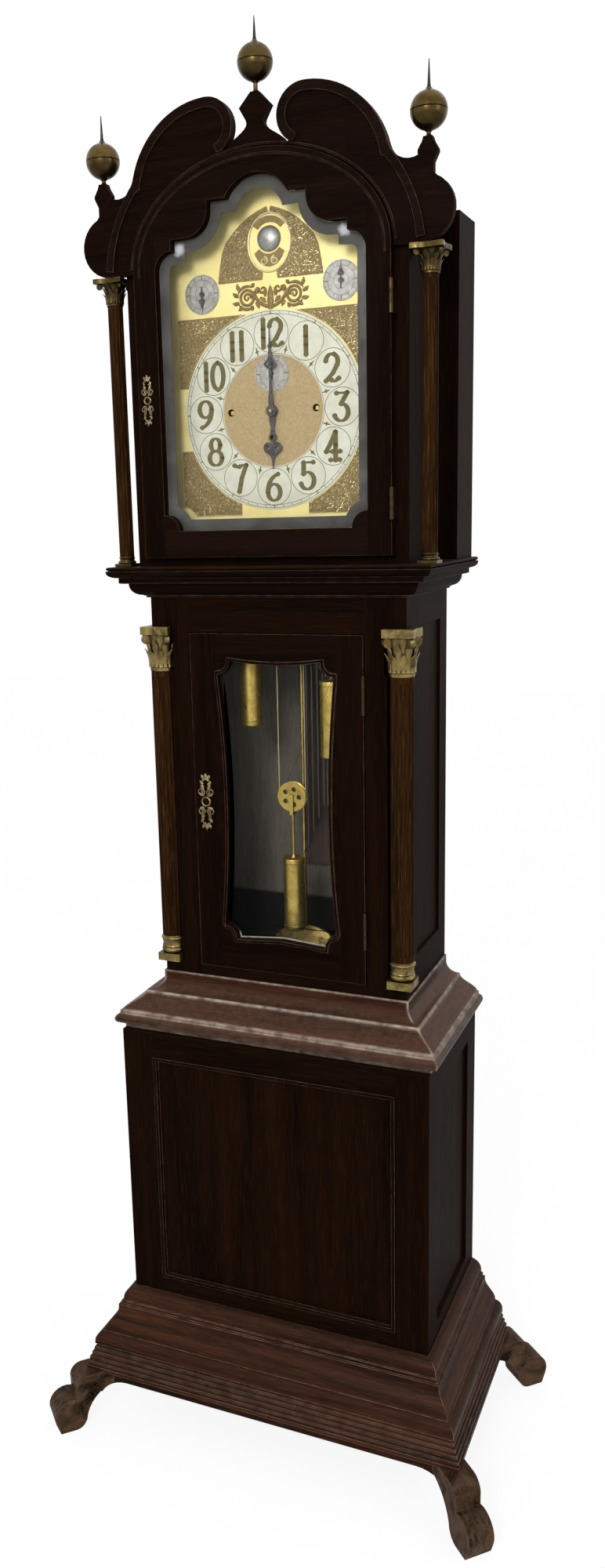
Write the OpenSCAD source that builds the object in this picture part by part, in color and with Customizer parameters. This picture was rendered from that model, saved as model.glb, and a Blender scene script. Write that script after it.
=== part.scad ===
// Longcase clock with a broken-arch hood, a three-train movement and splayed feet.
// Millimetres. X runs to the right, the front faces -Y, Z is up, and the feet stand on Z = 0.
// Depths are measured forward from the back plane of the case.

/* [Base and feet] */
// Width of the base box
base_w = 531; // [500:1:560]
// Depth of the base box
base_d = 291; // [270:1:320]
// Height of the top of the base box above the floor
base_top_z = 722; // [690:1:760]
// Height of the underside of the plinth moulding, where the feet begin
foot_h = 100; // [90:1:115]
// Reach of each foot beyond the plinth corner, along the diagonal
foot_reach = 66; // [56:1:76]
// Thickness of the sawn foot
foot_t = 46; // [36:1:56]
// Height of the apron board under the plinth moulding
apron_h = 21; // [14:1:26]
// Height of the plinth moulding
plinth_h = 140; // [125:1:155]
// Projection of the plinth moulding beyond the base box
plinth_out = 69; // [58:1:80]

/* [Trunk] */
// Width of the trunk
trunk_w = 422; // [400:1:440]
// Depth of the trunk
trunk_d = 226; // [215:1:240]
// Height of the underside of the throat moulding
trunk_top_z = 1438; // [1425:1:1455]
// Thickness of the case boards
board_t = 18; // [15:1:20]
// Projection of the throat moulding beyond the trunk
throat_out = 51; // [44:1:56]
// Diameter of the trunk corner columns, over their square bases
trunk_col_dia = 40; // [36:1:42]
// Width of the capitals of the trunk columns
trunk_cap_w = 49; // [44:1:52]

/* [Trunk door] */
// Width of the trunk door
tdoor_w = 288; // [276:1:296]
// Height of the bottom of the trunk door
tdoor_z0 = 830; // [824:1:840]
// Height of the top of the trunk door
tdoor_z1 = 1382; // [1372:1:1388]
// Thickness of the trunk door
tdoor_t = 20; // [18:1:24]
// Gap round each door
door_gap = 1.5; // [1.2:0.1:2]
// Half width of the glazed opening at its upper corners
tglass_top_x = 97; // [90:1:102]
// How far the sides of the glazed opening bow inwards
tglass_waist = 11; // [4:1:14]

/* [Hood] */
// Width of the front box of the hood
hood_w = 440; // [430:1:448]
// Depth of the front face of the hood frame
hood_d = 241; // [236:1:246]
// Width of the wider rear part of the hood
hood_rear_w = 502; // [494:1:510]
// Depth of the wider rear part of the hood
hood_rear_d = 92; // [84:1:98]
// Height of the shoulders of the hood roof
hood_top_z = 1985; // [1975:1:1995]
// Thickness of the hood boards
hood_t = 15; // [12:1:16]
// Distance of the hood columns from the centre line
hood_col_x = 247; // [245:0.5:249]
// Diameter of the hood column shafts
hood_col_dia = 23; // [20:0.5:25]
// Distance of the hood column axes behind the front face of the hood frame
hood_col_in = 9; // [5:1:13]

/* [Hood door] */
// Width of the hood door
hdoor_w = 398; // [390:1:404]
// Thickness of the hood door
hdoor_t = 17; // [15:1:18]
// Height of the bottom of the hood door
hdoor_z0 = 1500; // [1496:1:1506]
// Height at which the elliptical head of the door springs
arch_z = 1917; // [1910:1:1922]
// Rise of the elliptical head of the door
arch_rise = 146; // [140:1:150]
// Half width of the glazed opening
aper_x = 163; // [158:1:166]
// Height of the bottom of the glazed opening
aper_z0 = 1540; // [1534:1:1546]

/* [Crest and finials] */
// Thickness of the crest board
crest_t = 11; // [9:1:14]
// Height of the raised rim above the face of the crest board
rim_h = 5; // [3:0.5:6]
// Height of the tops of the two scrolls
scroll_top_z = 2138; // [2128:1:2146]
// Distance of the scroll tops from the centre line
scroll_x = 74; // [72:0.5:77]
// Distance of the side finials from the centre line
finial_x = 248; // [246:0.5:250]
// Diameter of the finial balls
finial_dia = 50; // [44:1:54]
// Height of the side finial balls
side_ball_z = 2078; // [2076:1:2084]
// Height of the centre finial ball
centre_ball_z = 2174; // [2172:1:2180]

/* [Dial] */
// Height of the centre of the dial
dial_z = 1712; // [1708:1:1716]
// Depth of the front face of the dial plate
dial_d = 209; // [207:1:211]
// Thickness of the dial plate
dial_t = 3; // [2:0.5:3]
// Outer radius of the chapter ring
chapter_r = 143; // [138:1:145]
// Inner radius of the chapter ring
chapter_in_r = 80; // [76:1:84]
// Radius of the seconds ring
seconds_r = 27; // [24:0.5:28]
// Radius of the two selector rings in the arch
selector_r = 28; // [25:0.5:29]
// Distance of the selector rings from the centre line
selector_x = 110; // [107:1:113]
// Height of the selector rings
selector_z = 1885; // [1882:1:1888]
// Length of the minute hand from its axis
minute_len = 122; // [112:1:128]
// Length of the hour hand from its axis
hour_len = 84; // [76:1:90]

/* [Movement] */
// Depth of the front face of the front movement plate
plate_front_d = 181.5; // [180:0.5:183]
// Clear distance between the movement plates
plate_gap = 50; // [49:0.5:52]
// Thickness of the movement plates
plate_t = 3.5; // [3:0.5:4]
// Half width of the movement plates
plate_x = 110; // [108:1:116]
// Distance of the strike and chime barrels from the centre line
side_train_x = 68.5; // [66:0.5:70]
// Drop from the centre arbor to the going barrel arbor
going_drop = 38; // [37.5:0.1:38.5]
// Distance of the minute wheel from the centre arbor
motion_dist = 32; // [30:0.5:33]
// Radius of the cable drums
drum_r = 22; // [20:0.5:22]
// Radius of the weight cables
cable_r = 1; // [0.8:0.1:1.2]

/* [Pendulum and weights] */
// Depth of the pendulum
pendulum_d = 114; // [112:0.5:115]
// Length from the bend of the suspension spring to the centre of the bob
pendulum_len = 994; // [980:1:1000]
// Radius of the pendulum bob
bob_r = 78; // [66:1:86]
// Thickness of the pendulum bob
bob_t = 28; // [20:1:30]
// Depth of the weights and pulleys
weight_d = 163; // [161:0.5:165]
// Diameter of the weights
weight_dia = 36; // [30:1:38]
// Length of the weights
weight_h = 124; // [110:1:135]
// Height of each pulley's axis above the bottom of its weight
pulley_up = 226; // [215:1:235]
// Height of the bottom of the left weight as it hangs
left_weight_z = 1227; // [1180:1:1235]
// Height of the bottom of the centre weight as it hangs
centre_weight_z = 887; // [840:1:940]
// Height of the bottom of the right weight as it hangs
right_weight_z = 1181; // [1140:1:1210]
// Diameter of the pulleys
pulley_dia = 49; // [46:0.5:50]

/* [Hidden] */
$fn = 64;
run_gap = 0.05;      // radial clearance of a running fit
seat_gap = 0.3;      // gap between a piece and the piece that it slides or turns beside

base_hw = base_w / 2;
trunk_hw = trunk_w / 2;
hood_hw = hood_w / 2;
plinth_hw = base_hw + plinth_out;
foot_diag = cos(45);
front_reach = base_d + plinth_out + (foot_reach + foot_t / 2) * foot_diag;
rear_reach = (foot_reach + foot_t / 2) * foot_diag;
back_y = (front_reach - rear_reach) / 2;

// World Y of a plane at a given depth from the back plane
function fy(depth) = back_y - depth;
// Points along an arc about c, from angle a0 to angle a1
function arc(c, r, a0, a1, n = 8) =
    [for (i = [0:n]) c + r * [cos(a0 + (a1 - a0) * i / n), sin(a0 + (a1 - a0) * i / n)]];
// Points along an elliptical arc with half axes rx and rz
function oval(c, rx, rz, a0, a1, n = 8) =
    [for (i = [0:n]) c + [rx * cos(a0 + (a1 - a0) * i / n), rz * sin(a0 + (a1 - a0) * i / n)]];
// Points along an S-curve from p to q
function ogee(p, q, n = 8) =
    [for (i = [0:n]) [p[0] + (q[0] - p[0]) * (1 - cos(180 * i / n)) / 2, p[1] + (q[1] - p[1]) * i / n]];
// A half outline with x >= 0, closed by its mirror image
function mirrored(p) = concat(p, [for (i = [len(p) - 1:-1:0]) [-p[i][0], p[i][1]]]);

module slab(x0, x1, d0, d1, z0, z1) {
    translate([x0, fy(d1), z0]) cube([x1 - x0, d1 - d0, z1 - z0]);
}
// A flat board from an outline in X and Z, with its front face at a given depth
module upright(front_d, t) {
    translate([0, fy(front_d) + t, 0]) rotate([90, 0, 0]) linear_extrude(t) children();
}
// A flat side board from an outline in Y and Z, starting at x
module sideways(x, t) {
    translate([x, 0, 0]) rotate([90, 0, 90]) linear_extrude(t) children();
}
// A round bar that lies front to back at (x, z), between two depths
module bar(x, z, r, d0, d1) {
    translate([x, fy(d0), z]) rotate([90, 0, 0]) cylinder(r = r, h = d1 - d0);
}
module pair() {
    children();
    mirror([1, 0, 0]) children();
}
// Solid of a moulding that runs round the front and both sides with mitred corners.
// The profile lists [projection, height] from top to bottom.
module mitred(hw, d, profile) {
    n = len(profile);
    intersection() {
        sideways(-2 * hw, 4 * hw)
            polygon(concat([for (p = profile) [fy(d) - p[0], p[1]]],
                           [[fy(0), profile[n - 1][1]], [fy(0), profile[0][1]]]));
        upright(2 * d, 3 * d)
            polygon(mirrored([for (p = profile) [hw + p[0], p[1]]]));
    }
}

// Feet

toe_r = 30;
groove_in = 2;
reeds = 5;
// Side outline of a foot, with the round of the toe set in by inset
module foot_profile(inset) {
    polygon(concat([[-70, foot_h], [0, foot_h]],
        arc([4, foot_h - 22], 22, 90, -10),
        arc([foot_reach - toe_r, toe_r], toe_r - inset, 112, -20),
        [[foot_reach - 9, 0], [foot_reach - 36, 0]],
        arc([foot_reach - 36, 20], 20, 262, 205, 5),
        arc([-60, 8], foot_h - 30, 6, 90, 9),
        [[-70, foot_h - 22]]));
}
// One sawn foot on the diagonal of the case at the front right corner, with a reeded toe
module foot() {
    pitch = foot_t / reeds;
    translate([plinth_hw, fy(base_d + plinth_out), 0]) rotate([0, 0, -45]) {
        translate([0, foot_t / 2, 0]) rotate([90, 0, 0]) linear_extrude(foot_t) foot_profile(groove_in);
        for (k = [0:reeds - 1]) translate([0, foot_t / 2 - k * pitch, 0]) rotate([90, 0, 0])
            linear_extrude(pitch * 0.8) foot_profile(0);
    }
}
module all_feet() {
    for (side = [0, 1]) mirror([side, 0, 0]) {
        foot();
        translate([0, 2 * fy((base_d + plinth_out) / 2), 0]) mirror([0, 1, 0]) foot();
    }
}
module feet() {
    color([0.16, 0.07, 0.04]) all_feet();
}

// Plinth moulding and apron

module apron_profile(hw) {
    polygon(mirrored(concat([[0, foot_h], [hw, foot_h], [hw, foot_h - apron_h - 33]],
        arc([hw - 60, foot_h - apron_h - 60], 60, 30, 90, 6), [[0, foot_h - apron_h]])));
}
apron_in = 13;
plinth_profile = concat(
    arc([-4, foot_h + plinth_h - 21], 21, 79, 0, 6),
    [[17, foot_h + plinth_h - 25], [20, foot_h + plinth_h - 25], [20, foot_h + plinth_h - 31],
     [24, foot_h + plinth_h - 31], [24, foot_h + plinth_h - 37]],
    ogee([24, foot_h + plinth_h - 37], [plinth_out - 26, foot_h + 67], 8),
    oval([plinth_out - 25, foot_h + 49], 12.5, 16, 90, 0, 6),
    [[plinth_out - 12.5, foot_h + 44], [plinth_out - 16, foot_h + 44], [plinth_out - 16, foot_h + 40]],
    [for (k = [0:3]) each arc([plinth_out - 15 + 3.3 * k, foot_h + 36 - 8 * k], 4, 80, -80, 5)],
    [[plinth_out - 5, foot_h + 7], [plinth_out, foot_h + 7], [plinth_out, foot_h]]);
module plinth_moulding() {
    color([0.2, 0.07, 0.04]) {
        difference() {
            mitred(base_hw, base_d, plinth_profile);
            slab(-base_hw, base_hw, -1, base_d, foot_h - 1, foot_h + plinth_h + 1);
        }
        difference() {
            union() {
                upright(base_d + plinth_out - apron_in, board_t) apron_profile(plinth_hw - apron_in);
                pair() slab(plinth_hw - apron_in - board_t, plinth_hw - apron_in, 12,
                            base_d + plinth_out - apron_in - board_t, foot_h - apron_h, foot_h);
            }
            all_feet();
        }
    }
}

// Base box

module base_floor() {
    color([0.3, 0.18, 0.1])
        slab(-base_hw + board_t, base_hw - board_t, board_t, base_d - board_t, foot_h, foot_h + 16);
}
panel_in = 55;
panel_z0 = foot_h + 168;
panel_z1 = base_top_z - 43;
panel_sink = 6;
module frame_opening(hw) {
    translate([-hw, panel_z0]) square([2 * hw, panel_z1 - panel_z0]);
}
side_panel_d0 = 50;
module base_frame() {
    color([0.14, 0.06, 0.035]) {
        difference() {
            upright(base_d, board_t) translate([-base_hw, foot_h])
                square([base_w, base_top_z - foot_h]);
            upright(base_d + 1, board_t + 2) frame_opening(base_hw - panel_in);
        }
        pair() difference() {
            slab(base_hw - board_t, base_hw, 0, base_d - board_t, foot_h, base_top_z);
            slab(base_hw - board_t - 1, base_hw + 1, side_panel_d0, base_d - side_panel_d0, panel_z0, panel_z1);
        }
        // Rails under the trunk, behind the cap moulding
        slab(-base_hw + board_t, base_hw - board_t, trunk_d - board_t, base_d - board_t,
             base_top_z - board_t, base_top_z);
        pair() slab(trunk_hw - board_t, base_hw - board_t, board_t, trunk_d - board_t,
                    base_top_z - board_t, base_top_z);
    }
}
tside_z0 = 870;
tside_z1 = 1392;
tside_d0 = 40;
tside_d1 = 170;
module case_panels() {
    color([0.17, 0.075, 0.04]) {
        upright(base_d - panel_sink, 8) frame_opening(base_hw - panel_in);
        pair() slab(base_hw - board_t + 4, base_hw - panel_sink, side_panel_d0, base_d - side_panel_d0,
                    panel_z0, panel_z1);
        pair() slab(trunk_hw - board_t + 4, trunk_hw - 4, tside_d0, tside_d1, tside_z0, tside_z1);
        // Bead round the front panel
        upright(base_d + 2, 2 + panel_sink) difference() {
            frame_opening(base_hw - panel_in);
            translate([-base_hw + panel_in + 6, panel_z0 + 6])
                square([base_w - 2 * panel_in - 12, panel_z1 - panel_z0 - 12]);
        }
    }
}

// Cap moulding between the base and the trunk

cap_z1 = base_top_z + 90;
cap_hw_out = base_hw - trunk_hw;
cap_profile = concat(
    [[3, cap_z1], [3, cap_z1 - 12]],
    oval([24, cap_z1 - 12], 21, 19, 180, 270, 6),
    [[27, cap_z1 - 31], [27, cap_z1 - 34]],
    ogee([28, cap_z1 - 34], [cap_hw_out + 3, base_top_z + 31], 8),
    [[cap_hw_out + 6, base_top_z + 31], [cap_hw_out + 6, base_top_z + 26]],
    arc([cap_hw_out + 5, base_top_z + 17], 8.5, 75, -70, 7),
    [[cap_hw_out + 2, base_top_z + 6], [cap_hw_out, base_top_z + 6], [cap_hw_out, base_top_z]]);
module base_cap_moulding() {
    color([0.2, 0.07, 0.04]) difference() {
        mitred(trunk_hw, trunk_d, cap_profile);
        slab(-trunk_hw, trunk_hw, -1, trunk_d, base_top_z - 1, cap_z1 + 1);
    }
}

// Trunk

col_out = 10;
col_x = trunk_hw + col_out - trunk_col_dia / 2;
col_d = trunk_d + col_out - trunk_col_dia / 2;
col_shaft_r = trunk_col_dia / 2 - 2;
col_z0 = 831;
col_z1 = 1392;
brass_base_h = 43;
brass_cap_h = 71;
tdoor_hw = tdoor_w / 2;
leaf_t = 1.5;
leaf_w = 13;
hinge_r = 3;
pin_r = 1.5;
trunk_hinge_h = 60;
hood_hinge_h = 45;
trunk_hinge_zs = [tdoor_z0 + 60, tdoor_z1 - 120];
tdoor_face = trunk_d + 2;
tpin_x = tdoor_hw + door_gap / 2;
tpin_d = tdoor_face + hinge_r + 0.5;
cheek_top = 1530;
// Square recess of half width r round a column axis, open to the front and the side
module column_recess(r, z0, z1) {
    slab(col_x - r - 1, trunk_hw + 1, col_d - r - 1, trunk_d + 1, z0, z1);
}
module trunk_frame() {
    color([0.13, 0.055, 0.03]) {
        difference() {
            union() {
                upright(trunk_d, board_t) difference() {
                    translate([-trunk_hw, base_top_z]) square([trunk_w, trunk_top_z - base_top_z]);
                    translate([-tdoor_hw - door_gap, tdoor_z0 - door_gap])
                        square([tdoor_w + 2 * door_gap, tdoor_z1 - tdoor_z0 + 2 * door_gap]);
                }
                // Corner posts that the columns stand in
                pair() slab(trunk_hw - 44, trunk_hw, trunk_d - 44, trunk_d - board_t, base_top_z, trunk_top_z);
                pair() slab(trunk_hw - board_t, trunk_hw, 0, trunk_d - 44, base_top_z, trunk_top_z);
                // Door stops
                pair() slab(tdoor_hw - 8, tdoor_hw + 12, trunk_d - board_t - 8, trunk_d - board_t,
                            tdoor_z0, tdoor_z1);
            }
            pair() {
                column_recess(trunk_col_dia / 2, col_z0, col_z1);
                column_recess(trunk_cap_w / 2, col_z1 - brass_cap_h, col_z1);
            }
            slab(-tdoor_hw - door_gap, tdoor_hw + door_gap, tdoor_face - tdoor_t - seat_gap, trunk_d,
                 tdoor_z0 - door_gap, tdoor_z1 + door_gap);
            pair() slab(trunk_hw - board_t - 1, trunk_hw + 1, tside_d0, tside_d1, tside_z0, tside_z1);
            // Room for the fixed hinge leaves in the right-hand stile
            for (z = trunk_hinge_zs)
                slab(tdoor_hw, tdoor_hw + door_gap + leaf_t, tdoor_face - leaf_w, tdoor_face + 1,
                     z - 0.2, z + trunk_hinge_h + 0.2);
        }
        // Cheeks that carry the seatboard
        pair() slab(trunk_hw - board_t - 16, trunk_hw - board_t, 24, trunk_d - 46, 1396, cheek_top);
    }
}
module fluted_shaft(r, h, flutes, flute_r, ends) {
    difference() {
        cylinder(r = r, h = h);
        for (i = [0:flutes - 1])
            rotate([0, 0, (i + 0.5) * 360 / flutes]) translate([r + flute_r * 0.3, 0, ends])
                cylinder(r = flute_r, h = h - 2 * ends, $fn = 24);
    }
}
module trunk_columns() {
    color([0.2, 0.08, 0.05]) pair() translate([col_x, fy(col_d), col_z0 + brass_base_h])
        fluted_shaft(col_shaft_r, col_z1 - col_z0 - brass_base_h - brass_cap_h, 16, 2.6, 10);
}
// Turned base of a column, of height h on a square block, with shaft radius r
module column_base(r, h, foot_r) {
    translate([-foot_r, -foot_r, 0]) cube([2 * foot_r, 2 * foot_r, h * 0.3]);
    translate([0, 0, h * 0.3]) rotate_extrude() polygon(concat([[0, 0]],
        arc([foot_r - h * 0.13, h * 0.13], h * 0.13, -90, 90, 6),
        oval([foot_r - 1, h * 0.4], foot_r - 1 - r, h * 0.14, 270, 180, 4),
        arc([r + 0.5, h * 0.6], h * 0.05, -60, 90, 4),
        [[r, h * 0.66], [r, h * 0.7], [0, h * 0.7]]));
}
// Bell capital with corner scrolls under a square abacus with hollow sides
module column_capital(r, h, top_r) {
    rotate_extrude() polygon(concat([[0, 0], [r + 1.2, 0], [r + 1.2, h * 0.07], [r, h * 0.1]],
        oval([top_r * 0.92, h * 0.2], top_r * 0.92 - r, h * 0.62, 180, 90, 7),
        [[0, h * 0.82]]));
    translate([0, 0, h * 0.82]) difference() {
        translate([-top_r, -top_r, 0]) cube([2 * top_r, 2 * top_r, h * 0.18]);
        for (a = [0:90:270]) rotate([0, 0, a]) translate([top_r * 2.5, 0, -1])
            cylinder(r = top_r * 1.62, h = h * 0.18 + 2);
    }
    for (a = [45:90:315]) rotate([0, 0, a]) translate([top_r * 0.98, h * 0.05, h * 0.72])
        rotate([90, 0, 0]) cylinder(r = h * 0.12, h = h * 0.1, $fn = 24);
}
module trunk_column_brasses() {
    color([0.75, 0.6, 0.3]) pair() translate([col_x, fy(col_d), 0]) {
        translate([0, 0, col_z0]) column_base(col_shaft_r, brass_base_h, trunk_col_dia / 2);
        translate([0, 0, col_z1 - brass_cap_h]) column_capital(col_shaft_r, brass_cap_h, trunk_cap_w / 2);
    }
}

// Throat moulding that widens the trunk to carry the hood

throat_z1 = trunk_top_z + 43;
throat_profile = concat(
    [[throat_out, throat_z1], [throat_out, throat_z1 - 2]],
    oval([throat_out - 14, throat_z1 - 2], 14, 9, 0, -90, 6),
    [[throat_out - 14.5, throat_z1 - 11], [throat_out - 14.5, throat_z1 - 19],
     [throat_out - 18, throat_z1 - 20], [25, throat_z1 - 20]],
    oval([8, throat_z1 - 22], 17, 17, 0, -90, 6),
    [[8, throat_z1 - 40], [5, throat_z1 - 40], [5, trunk_top_z]]);
module throat_moulding() {
    color([0.2, 0.07, 0.04]) difference() {
        mitred(trunk_hw, trunk_d, throat_profile);
        slab(-trunk_hw + board_t, trunk_hw - board_t, -1, trunk_d - board_t, trunk_top_z - 1, throat_z1 + 1);
    }
}

// Backboard, floor to hood, and the seatboard that carries the movement

rear_wing_x = hood_rear_w / 2 - hood_t - 1;
roof_gap = 3;
module backboard() {
    color([0.3, 0.18, 0.1]) {
        slab(-base_hw + board_t, base_hw - board_t, 0, board_t, foot_h, base_top_z);
        slab(-trunk_hw + board_t, trunk_hw - board_t, 0, board_t, base_top_z, hood_top_z - hood_t - roof_gap);
        pair() slab(trunk_hw - board_t, rear_wing_x, 0, board_t, sill_z1 + roof_gap, hood_top_z - hood_t - roof_gap);
        // Arched top that closes the back of the barrel roof
        upright(board_t, board_t) polygon(concat([[roof_spring_x - 12, hood_top_z - hood_t - roof_gap - 1]],
            roof_arch(roof_t + roof_gap), [[12 - roof_spring_x, hood_top_z - hood_t - roof_gap - 1]]));
    }
}
seat_t = 18;
seat_top = cheek_top + seat_t;
seat_d0 = plate_front_d - 2 * plate_t - plate_gap - 0.5;
seat_d1 = 198;
module seatboard() {
    color([0.3, 0.18, 0.1]) difference() {
        slab(-trunk_hw + board_t, trunk_hw - board_t, seat_d0, seat_d1, cheek_top, seat_top);
        // Wide hole for the moving fall of each cable, and a small one for its fixed end
        for (x = [-side_train_x, 0, side_train_x]) {
            translate([x - fall_r, fy(weight_d), cheek_top - 1]) cylinder(r = 7, h = seat_t + 2);
            translate([x + fall_r, fy(weight_d), cheek_top - 1])
                cylinder(r = cable_r + seat_gap, h = seat_t + 2, $fn = 24);
        }
    }
}

// Hinge leaves on a pin at x = px and depth pd, with the leaf's near face at leaf_x

// Fixed leaf, set into the frame beside the door, with the two end knuckles and the pin
module fixed_leaf(px, pd, leaf_x, leaf_d, z, h) {
    slab(leaf_x, leaf_x + leaf_t, leaf_d, pd - hinge_r - seat_gap, z, z + h);
    for (zz = [z, z + h * 2 / 3]) {
        slab(leaf_x, leaf_x + leaf_t, leaf_d, pd, zz, zz + h / 3);
        translate([px, fy(pd), zz]) cylinder(r = hinge_r, h = h / 3, $fn = 32);
    }
    translate([px, fy(pd), z]) cylinder(r = pin_r, h = h, $fn = 32);
}
// Moving leaf, set into the edge of the door, with the middle knuckle bored to run on the pin
module moving_leaf(px, pd, leaf_x, leaf_d, z, h) {
    difference() {
        union() {
            slab(leaf_x - leaf_t, leaf_x, leaf_d, pd, z + h / 3 + seat_gap, z + h * 2 / 3 - seat_gap);
            translate([px, fy(pd), z + h / 3 + seat_gap])
                cylinder(r = hinge_r, h = h / 3 - 2 * seat_gap, $fn = 32);
        }
        translate([px, fy(pd), z]) cylinder(r = pin_r + run_gap, h = h, $fn = 32);
    }
}
module trunk_hinge_leaves() {
    color([0.7, 0.55, 0.3]) for (z = trunk_hinge_zs)
        fixed_leaf(tpin_x, tpin_d, tdoor_hw + door_gap, tdoor_face - leaf_w, z, trunk_hinge_h);
}
module trunk_door_hinge_leaves() {
    color([0.7, 0.55, 0.3]) for (z = trunk_hinge_zs)
        moving_leaf(tpin_x, tpin_d, tdoor_hw, tdoor_face - leaf_w, z, trunk_hinge_h);
}

// Trunk door, with a glazed opening that has stepped corners and hollow sides

tglass_z1 = tdoor_z1 - 42;
tglass_z0 = tdoor_z0 + 51;
tglass_bow = 6;
tglass_step_x = 76;
tglass_side_z1 = tglass_z1 - 28;
tglass_side_z0 = tglass_z0 + 27;
// Points of a shallow arc from p to q that bows by sag to the left of its way
function bow(p, q, sag, n = 8) =
    [for (i = [0:n]) let (t = i / n, u = q - p, l = norm(u), k = 4 * sag * t * (1 - t))
        p + u * t + [-u[1], u[0]] / l * k];
function trunk_glass(g) = mirrored(concat(
    bow([0, tglass_z1 - tglass_bow + g], [tglass_step_x + g, tglass_z1 + g], -1.5, 4),
    arc([tglass_step_x + 22, tglass_z1], 22 - g, 180, 245, 5),
    [[tglass_top_x + g, tglass_side_z1 + g + 6]],
    bow([tglass_top_x + g, tglass_side_z1], [tglass_top_x + g, tglass_side_z0], -tglass_waist, 12),
    arc([tglass_step_x + 20, tglass_z0 + 3], 19 - g, 85, 175, 6),
    [[tglass_step_x + g, tglass_z0 - g]],
    [[0, tglass_z0 + tglass_bow - g]]));
module trunk_door_frame() {
    color([0.15, 0.06, 0.035]) difference() {
        union() {
            upright(tdoor_face, tdoor_t) translate([-tdoor_hw, tdoor_z0])
                square([tdoor_w, tdoor_z1 - tdoor_z0]);
            // Small bead round the glazed opening
            upright(tdoor_face + 2, 3) polygon(trunk_glass(5));
        }
        upright(tdoor_face + 3, tdoor_t + 4) polygon(trunk_glass(0));
        upright(tdoor_face - tdoor_t + 8, 9) polygon(trunk_glass(6));
        for (z = trunk_hinge_zs)
            slab(tdoor_hw - leaf_t, tdoor_hw + 1, tdoor_face - leaf_w, tdoor_face + 1,
                 z + trunk_hinge_h / 3 + seat_gap - 0.2, z + trunk_hinge_h * 2 / 3 - seat_gap + 0.2);
    }
}
module trunk_door_glass() {
    color([0.8, 0.85, 0.85, 0.3]) upright(tdoor_face - tdoor_t + 8, 4) polygon(trunk_glass(5.8));
}
// Pierced brass plate round a keyhole, about (x, z), of half size hx by hz
module escutcheon(x, z, hx, hz, face_d) {
    upright(face_d + 2, 2) translate([x, z]) difference() {
        polygon(mirrored(concat([[0, hz]], arc([0, hz * 0.72], hx * 0.42, 75, -20, 5),
            arc([hx * 0.5, hz * 0.3], hx * 0.5, 80, -60, 6),
            [[hx * 0.45, 0]], arc([hx * 0.5, -hz * 0.3], hx * 0.5, 60, -80, 6),
            arc([0, -hz * 0.72], hx * 0.42, 20, -75, 5), [[0, -hz]])));
        circle(r = 2.6, $fn = 24);
        translate([-1.1, -7]) square([2.2, 7]);
    }
}
module trunk_escutcheon() {
    color([0.8, 0.68, 0.4]) escutcheon(-tdoor_hw + 19, 1110, 17, 48, tdoor_face);
}

// Hood door, with an elliptical head and a stepped and lobed glazed opening

hdoor_hw = hdoor_w / 2;
hdoor_face = hood_d + seat_gap * 3 + hdoor_t;
hdoor_back = hood_d + seat_gap * 3;
head_r = 54;
head_z = 1977;
ledge1_z = 2003;
step1_x = 76;
lobe_r = 36;
ledge2_z = 1956;
step2_x = aper_x - 27;
shoulder_r = 27;
shoulder_z = 1914;
sill_lobe_r = 24;
// Outline of the glazed opening, grown by g on every side
function hood_opening(g) = mirrored(concat(
    arc([0, head_z], head_r + g, 90, asin((ledge1_z - head_z + g) / (head_r + g)), 9),
    [[step1_x + g, ledge1_z + g]],
    arc([step1_x + lobe_r, ledge2_z + lobe_r], lobe_r - g, 180, 270, 7),
    [[step2_x + g, ledge2_z + g]],
    arc([aper_x - shoulder_r, shoulder_z], shoulder_r + g,
        acos((step2_x - aper_x + shoulder_r + g) / (shoulder_r + g)), 0, 7),
    arc([aper_x, aper_z0], sill_lobe_r - g, acos(g / (sill_lobe_r - g)),
        180 + asin(g / (sill_lobe_r - g)), 7)));
// Outline of the door with its elliptical head, grown by g
function door_outline(g) = mirrored(concat(
    oval([0, arch_z], hdoor_hw + g, arch_rise + g, 90, 0, 18),
    [[hdoor_hw + g, hdoor_z0 - g]]));
hood_hinge_zs = [hdoor_z0 + 50, arch_z - 90];
leaf_in = 8;
hpin_x = hdoor_hw + door_gap / 2;
hpin_d = hdoor_face + hinge_r + 0.5;
module hood_door_frame() {
    color([0.15, 0.06, 0.035]) difference() {
        union() {
            upright(hdoor_face, hdoor_t) polygon(door_outline(0));
            // Fine bead that follows the head
            upright(hdoor_face + 1.5, 2.5) difference() {
                polygon(door_outline(-8));
                polygon(door_outline(-10.5));
                translate([-hdoor_hw, hdoor_z0 - 1]) square([hdoor_w, arch_z - hdoor_z0 - 8]);
            }
        }
        upright(hdoor_face + 3, hdoor_t + 6) polygon(hood_opening(0));
        upright(hdoor_back + 7, 8) polygon(hood_opening(6));
        for (z = hood_hinge_zs)
            slab(hdoor_hw - leaf_t, hdoor_hw + 1, hdoor_face - leaf_w, hdoor_face + 1,
                 z + hood_hinge_h / 3 + seat_gap - 0.2, z + hood_hinge_h * 2 / 3 - seat_gap + 0.2);
    }
}
module hood_door_glass() {
    color([0.8, 0.85, 0.85, 0.3]) upright(hdoor_back + 7, 4) polygon(hood_opening(5.8));
}
hood_lock_z = 1734;
module hood_escutcheon() {
    color([0.8, 0.68, 0.4]) escutcheon(-hdoor_hw + 15, hood_lock_z, 12, 38, hdoor_face);
}
module hood_hinge_leaves() {
    color([0.7, 0.55, 0.3]) for (z = hood_hinge_zs)
        fixed_leaf(hpin_x, hpin_d, hdoor_hw + door_gap, hood_d - leaf_in, z, hood_hinge_h);
}
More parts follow.
